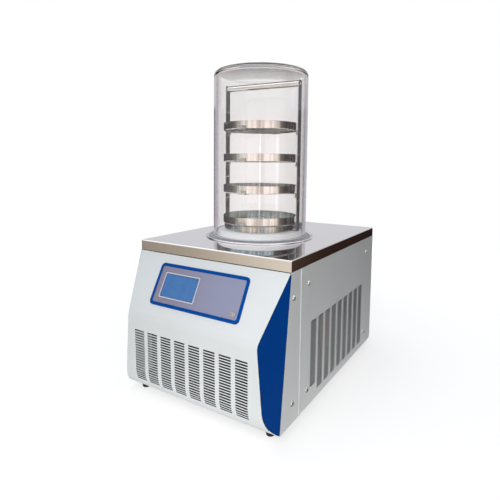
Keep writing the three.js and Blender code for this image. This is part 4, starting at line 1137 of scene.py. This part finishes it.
# ---------------------------------------------------------------- inside the cabinet, and the back
dress(FOAM, "trap_insulation")
dress(
    COPPER,
    "cooling_coil",
    "filter_drier",
    "discharge_pipe",
    "liquid_pipe",
    "capillary_tube",
    "suction_pipe",
)
dress(RUBBER, "compressor_mount_right", "compressor_mount_left")
dress(ENAMEL, "compressor", "fan_motor", "condenser", "fan_shroud", "vacuum_pipe", "electrical_box")
dress(ALUMINIUM, "fan_impeller")
dress(ZINC, "fan_bracket")
dress(HOSE, "drain_pipe")
dress(BLACK_ABS, "mains_inlet", "switch_housing", edge=0.5)
dress(RED_ABS, "power_rocker", edge=0.5)
dress(MIRROR, "vacuum_port")
dress(BRASS, "air_valve")
dress(RED_ABS, "air_valve_lever", edge=0.6)


# ---------------------------------------------------------------- studio
# What stands round the object, as bearings from the front towards the right, in degrees, and colours:
# at eye level, and below it.
WALLS = [
    (-180, "#dcdce0"),
    (-168, "#dcdce0"),
    (-162, "#353338"),
    (-124, "#333136"),
    (-66, "#43403e"),
    (-53, "#5c5956"),
    (-44, "#9a9792"),
    (-34, "#c8c5be"),
    (-20, "#e0dcd4"),
    (-5, "#f6eee6"),
    (4, "#fff6ee"),
    (18, "#f4e6de"),
    (27, "#dccecb"),
    (36, "#dccecc"),
    (44, "#fbf1ea"),
    (76, "#fff4ea"),
    (86, "#bdb6af"),
    (96, "#6a625e"),
    (108, "#4c4442"),
    (122, "#453c3b"),
    (134, "#544b4a"),
    (142, "#352d2b"),
    (166, "#352d2b"),
    (174, "#dcdce0"),
    (180, "#dcdce0"),
]
BENCHES = [
    (-180, "#cfc4b6"),
    (-168, "#cfc4b6"),
    (-162, "#353338"),
    (-110, "#615f66"),
    (-100, "#8d8272"),
    (-50, "#9a9184"),
    (-40, "#b9ad9b"),
    (-27, "#f2e6d4"),
    (80, "#e6dacb"),
    (94, "#33241f"),
    (149, "#33241f"),
    (153, "#4c3a30"),
    (157, "#33241f"),
    (168, "#221917"),
    (176, "#cfc4b6"),
    (180, "#cfc4b6"),
]
# Window light added to what the jar mirrors, by bearing.
GLINTS = [
    (-180, 0),
    (-75, 0),
    (-30, 0.8),
    (28, 0.9),
    (29.5, 3.5),
    (31.5, 3.5),
    (33, 0),
    (40, 0),
    (46, 0.7),
    (68, 0.9),
    (71, 2.2),
    (75, 2.2),
    (78, 0),
    (180, 0),
]
FLOOR_RADIUS = 2.2


def room():
    """A room for the polished pieces to mirror, and a plain white ground to see behind and through them."""
    world = bpy.data.worlds.new("room")
    bpy.context.scene.world = world
    world.use_nodes = True
    tree = world.node_tree
    way = add(tree, "ShaderNodeTexCoord").outputs["Generated"]
    x, y, z = add(tree, "ShaderNodeSeparateXYZ", {0: way}).outputs
    ahead = add(tree, "ShaderNodeMath", {0: y, 1: -1}, operation="MULTIPLY").outputs[0]
    bearing = add(tree, "ShaderNodeMath", {0: x, 1: ahead}, operation="ARCTAN2").outputs[0]
    share = add(tree, "ShaderNodeMapRange", {0: bearing, 1: -math.pi, 2: math.pi}).outputs[0]

    def around(colours):
        ramp = add(tree, "ShaderNodeValToRGB", {0: share})
        stops = ramp.color_ramp.elements
        for stop in colours[2:]:
            stops.new(0.5)
        for stop, (angle, shade) in zip(stops, colours):
            grey = (shade, shade, shade, 1)
            stop.position, stop.color = (angle + 180) / 360, linear(shade) if isinstance(shade, str) else grey
        return ramp.outputs[0]

    def level(value, low, high):
        return add(
            tree, "ShaderNodeMapRange", {0: value, 1: low, 2: high}, interpolation_type="SMOOTHSTEP"
        ).outputs[0]

    def blend(amount, one, other):
        return add(tree, "ShaderNodeMix", {0: amount, 6: one, 7: other}, data_type="RGBA").outputs[2]

    def times(one, other):
        return add(tree, "ShaderNodeMath", {0: one, 1: other}, operation="MULTIPLY").outputs[0]

    path = add(tree, "ShaderNodeLightPath").outputs
    through = level(path["Transmission Depth"], 3.4, 3.6)
    within = times(level(path["Transmission Depth"], 1.4, 1.6), level(path["Glossy Depth"], 0.4, 0.6))
    over_bench = add(
        tree,
        "ShaderNodeMath",
        {0: level(z, -0.145, -0.115), 1: times(through, level(z, -0.23, -0.19))},
        operation="MAXIMUM",
    ).outputs[0]
    seen = blend(over_bench, around(BENCHES), around(WALLS))
    ahead_and_up = times(level(z, 0.1, 0.14), level(ahead, 0, 0.3))
    seen = blend(ahead_and_up, seen, blend(through, (0.95, 0.95, 0.97, 1), (0.45, 0.63, 0.8, 1)))
    behind = level(ahead, -0.2, -0.45)
    seen = blend(times(level(z, 0.115, 0.135), behind), seen, linear("#dcdce0"))
    seen = blend(level(z, 0.32, 0.42), seen, linear("#d8d4ce"))
    seen = blend(level(z, 0.5, 0.66), seen, (1.6, 1.6, 1.63, 1))
    overhead = times(times(within, level(z, 0.1, 0.14)), level(ahead, 0.3, 0.2))
    seen = blend(overhead, seen, blend(level(x, 0.1, 0.3), linear("#54565a"), linear("#2c2d31")))
    seen = blend(level(z, -0.3, -0.5), seen, blend(through, linear("#9a9794"), linear("#5c5247")))
    brighter = add(tree, "ShaderNodeVectorMath", {0: seen, "Scale": 1.22}, operation="SCALE").outputs[0]
    seen = blend(through, seen, brighter)
    in_wall = times(level(path["Transmission Depth"], 0.4, 0.6), level(path["Transmission Depth"], 3.6, 3.4))
    low_wall = blend(level(x, -0.9, -0.2), linear("#c9c5cd"), linear("#aea9b4"))
    seen = blend(in_wall, seen, blend(level(z, 0.12, 0.3), low_wall, linear("#e9dccd")))
    on_jar = times(level(z, 0.1, 0.04), level(z, -0.14, -0.11))
    glints = add(
        tree, "ShaderNodeVectorMath", {0: around(GLINTS), "Scale": times(on_jar, level(path["Transmission Depth"], 3.6, 3.4))}, operation="SCALE"
    ).outputs[0]
    seen = add(tree, "ShaderNodeVectorMath", {0: seen, 1: glints}, operation="ADD").outputs[0]
    plain = blend(level(z, 0.5, 0.72), (1, 1, 1, 1), linear("#b9b4b8"))
    shown = blend(level(path["Glossy Depth"], 0.4, 0.6), plain, seen)
    shown = blend(level(path["Diffuse Depth"], 0.4, 0.6), shown, linear("#39393b"))
    tree.links.new(shown, tree.nodes["Background"].inputs["Color"])


def floor():
    """A round sheet of white paper that brightens outwards until its edge can't be told from the ground."""
    bm = bmesh.new()
    bmesh.ops.create_circle(bm, cap_ends=True, segments=96, radius=FLOOR_RADIUS)
    mesh = bpy.data.meshes.new("floor")
    bm.to_mesh(mesh)
    bm.free()
    sheet = bpy.data.objects.new("floor", mesh)
    bpy.context.scene.collection.objects.link(sheet)
    paper, tree, shader, place = begin("white_paper", {"Base Color": linear("#a8a8a8"), "Roughness": 0.9})
    reach = add(tree, "ShaderNodeVectorMath", {0: place}, operation="LENGTH").outputs["Value"]
    glow = add(
        tree, "ShaderNodeMapRange", {0: reach, 1: 0.35, 2: 0.9 * FLOOR_RADIUS, 3: 0.72, 4: 1.0}
    ).outputs[0]
    bounced = add(tree, "ShaderNodeLightPath").outputs["Is Diffuse Ray"]
    near = add(tree, "ShaderNodeMapRange", {0: reach, 1: 0.3, 2: 0.9, 3: 0.8, 4: 0.05}).outputs[0]
    glow = add(tree, "ShaderNodeMix", {0: bounced, 2: glow, 3: near}).outputs[0]
    shader.inputs["Emission Color"].default_value = (1, 1, 1, 1)
    tree.links.new(glow, shader.inputs["Emission Strength"])
    mesh.materials.append(paper)
    sheet.visible_glossy = False


def lamp(name, size, power, place, target, shade="#ffffff"):
    """A soft box that points at a spot."""
    data = bpy.data.lights.new(name, "AREA")
    data.shape, data.size, data.size_y, data.energy = "RECTANGLE", *size, power
    data.color = linear(shade)[:3]
    light = bpy.data.objects.new(name, data)
    light.location = place
    light.rotation_euler = (Vector(target) - Vector(place)).to_track_quat("-Z", "Y").to_euler()
    light.visible_glossy = light.visible_transmission = False
    bpy.context.scene.collection.objects.link(light)


def camera():
    """Looks down a little on the front right corner, from just outside its right edge."""
    turn, pitch, roll = math.radians(32.16), math.radians(5.32), math.radians(0.519)
    back = Vector((math.sin(turn) * math.cos(pitch), -math.cos(turn) * math.cos(pitch), math.sin(pitch)))
    across = Vector((math.cos(turn), math.sin(turn), 0))
    upward = back.cross(across)
    right = math.cos(roll) * across + math.sin(roll) * upward
    up = math.cos(roll) * upward - math.sin(roll) * across
    data = bpy.data.cameras.new("camera")
    data.sensor_width, data.lens = 36, 30.9
    data.shift_x, data.shift_y = -0.002, -0.0935
    data.clip_end = 60
    view = bpy.data.objects.new("camera", data)
    place = Matrix((right, up, back)).transposed().to_4x4()
    place.translation = Vector((627.1, -1076.4, 595.2)) * MM
    view.matrix_world = place
    bpy.context.scene.collection.objects.link(view)
    bpy.context.scene.camera = view


room()
floor()
lamp("key", (1.6, 1.6), 20.5, (0.2, -2.3, 1.5), (0, -0.3, 0.2), "#f8fbff")
lamp("near", (0.6, 0.6), 7.5, (0.75, -1.3, 0.6), (0.15, -0.3, 0.2), "#fffaf4")
lamp("top", (2.0, 2.0), 36, (-0.6, 0.2, 3.0), (0, 0, 0.4), "#dcebff")
camera()
bpy.context.scene.view_settings.view_transform = "Standard"
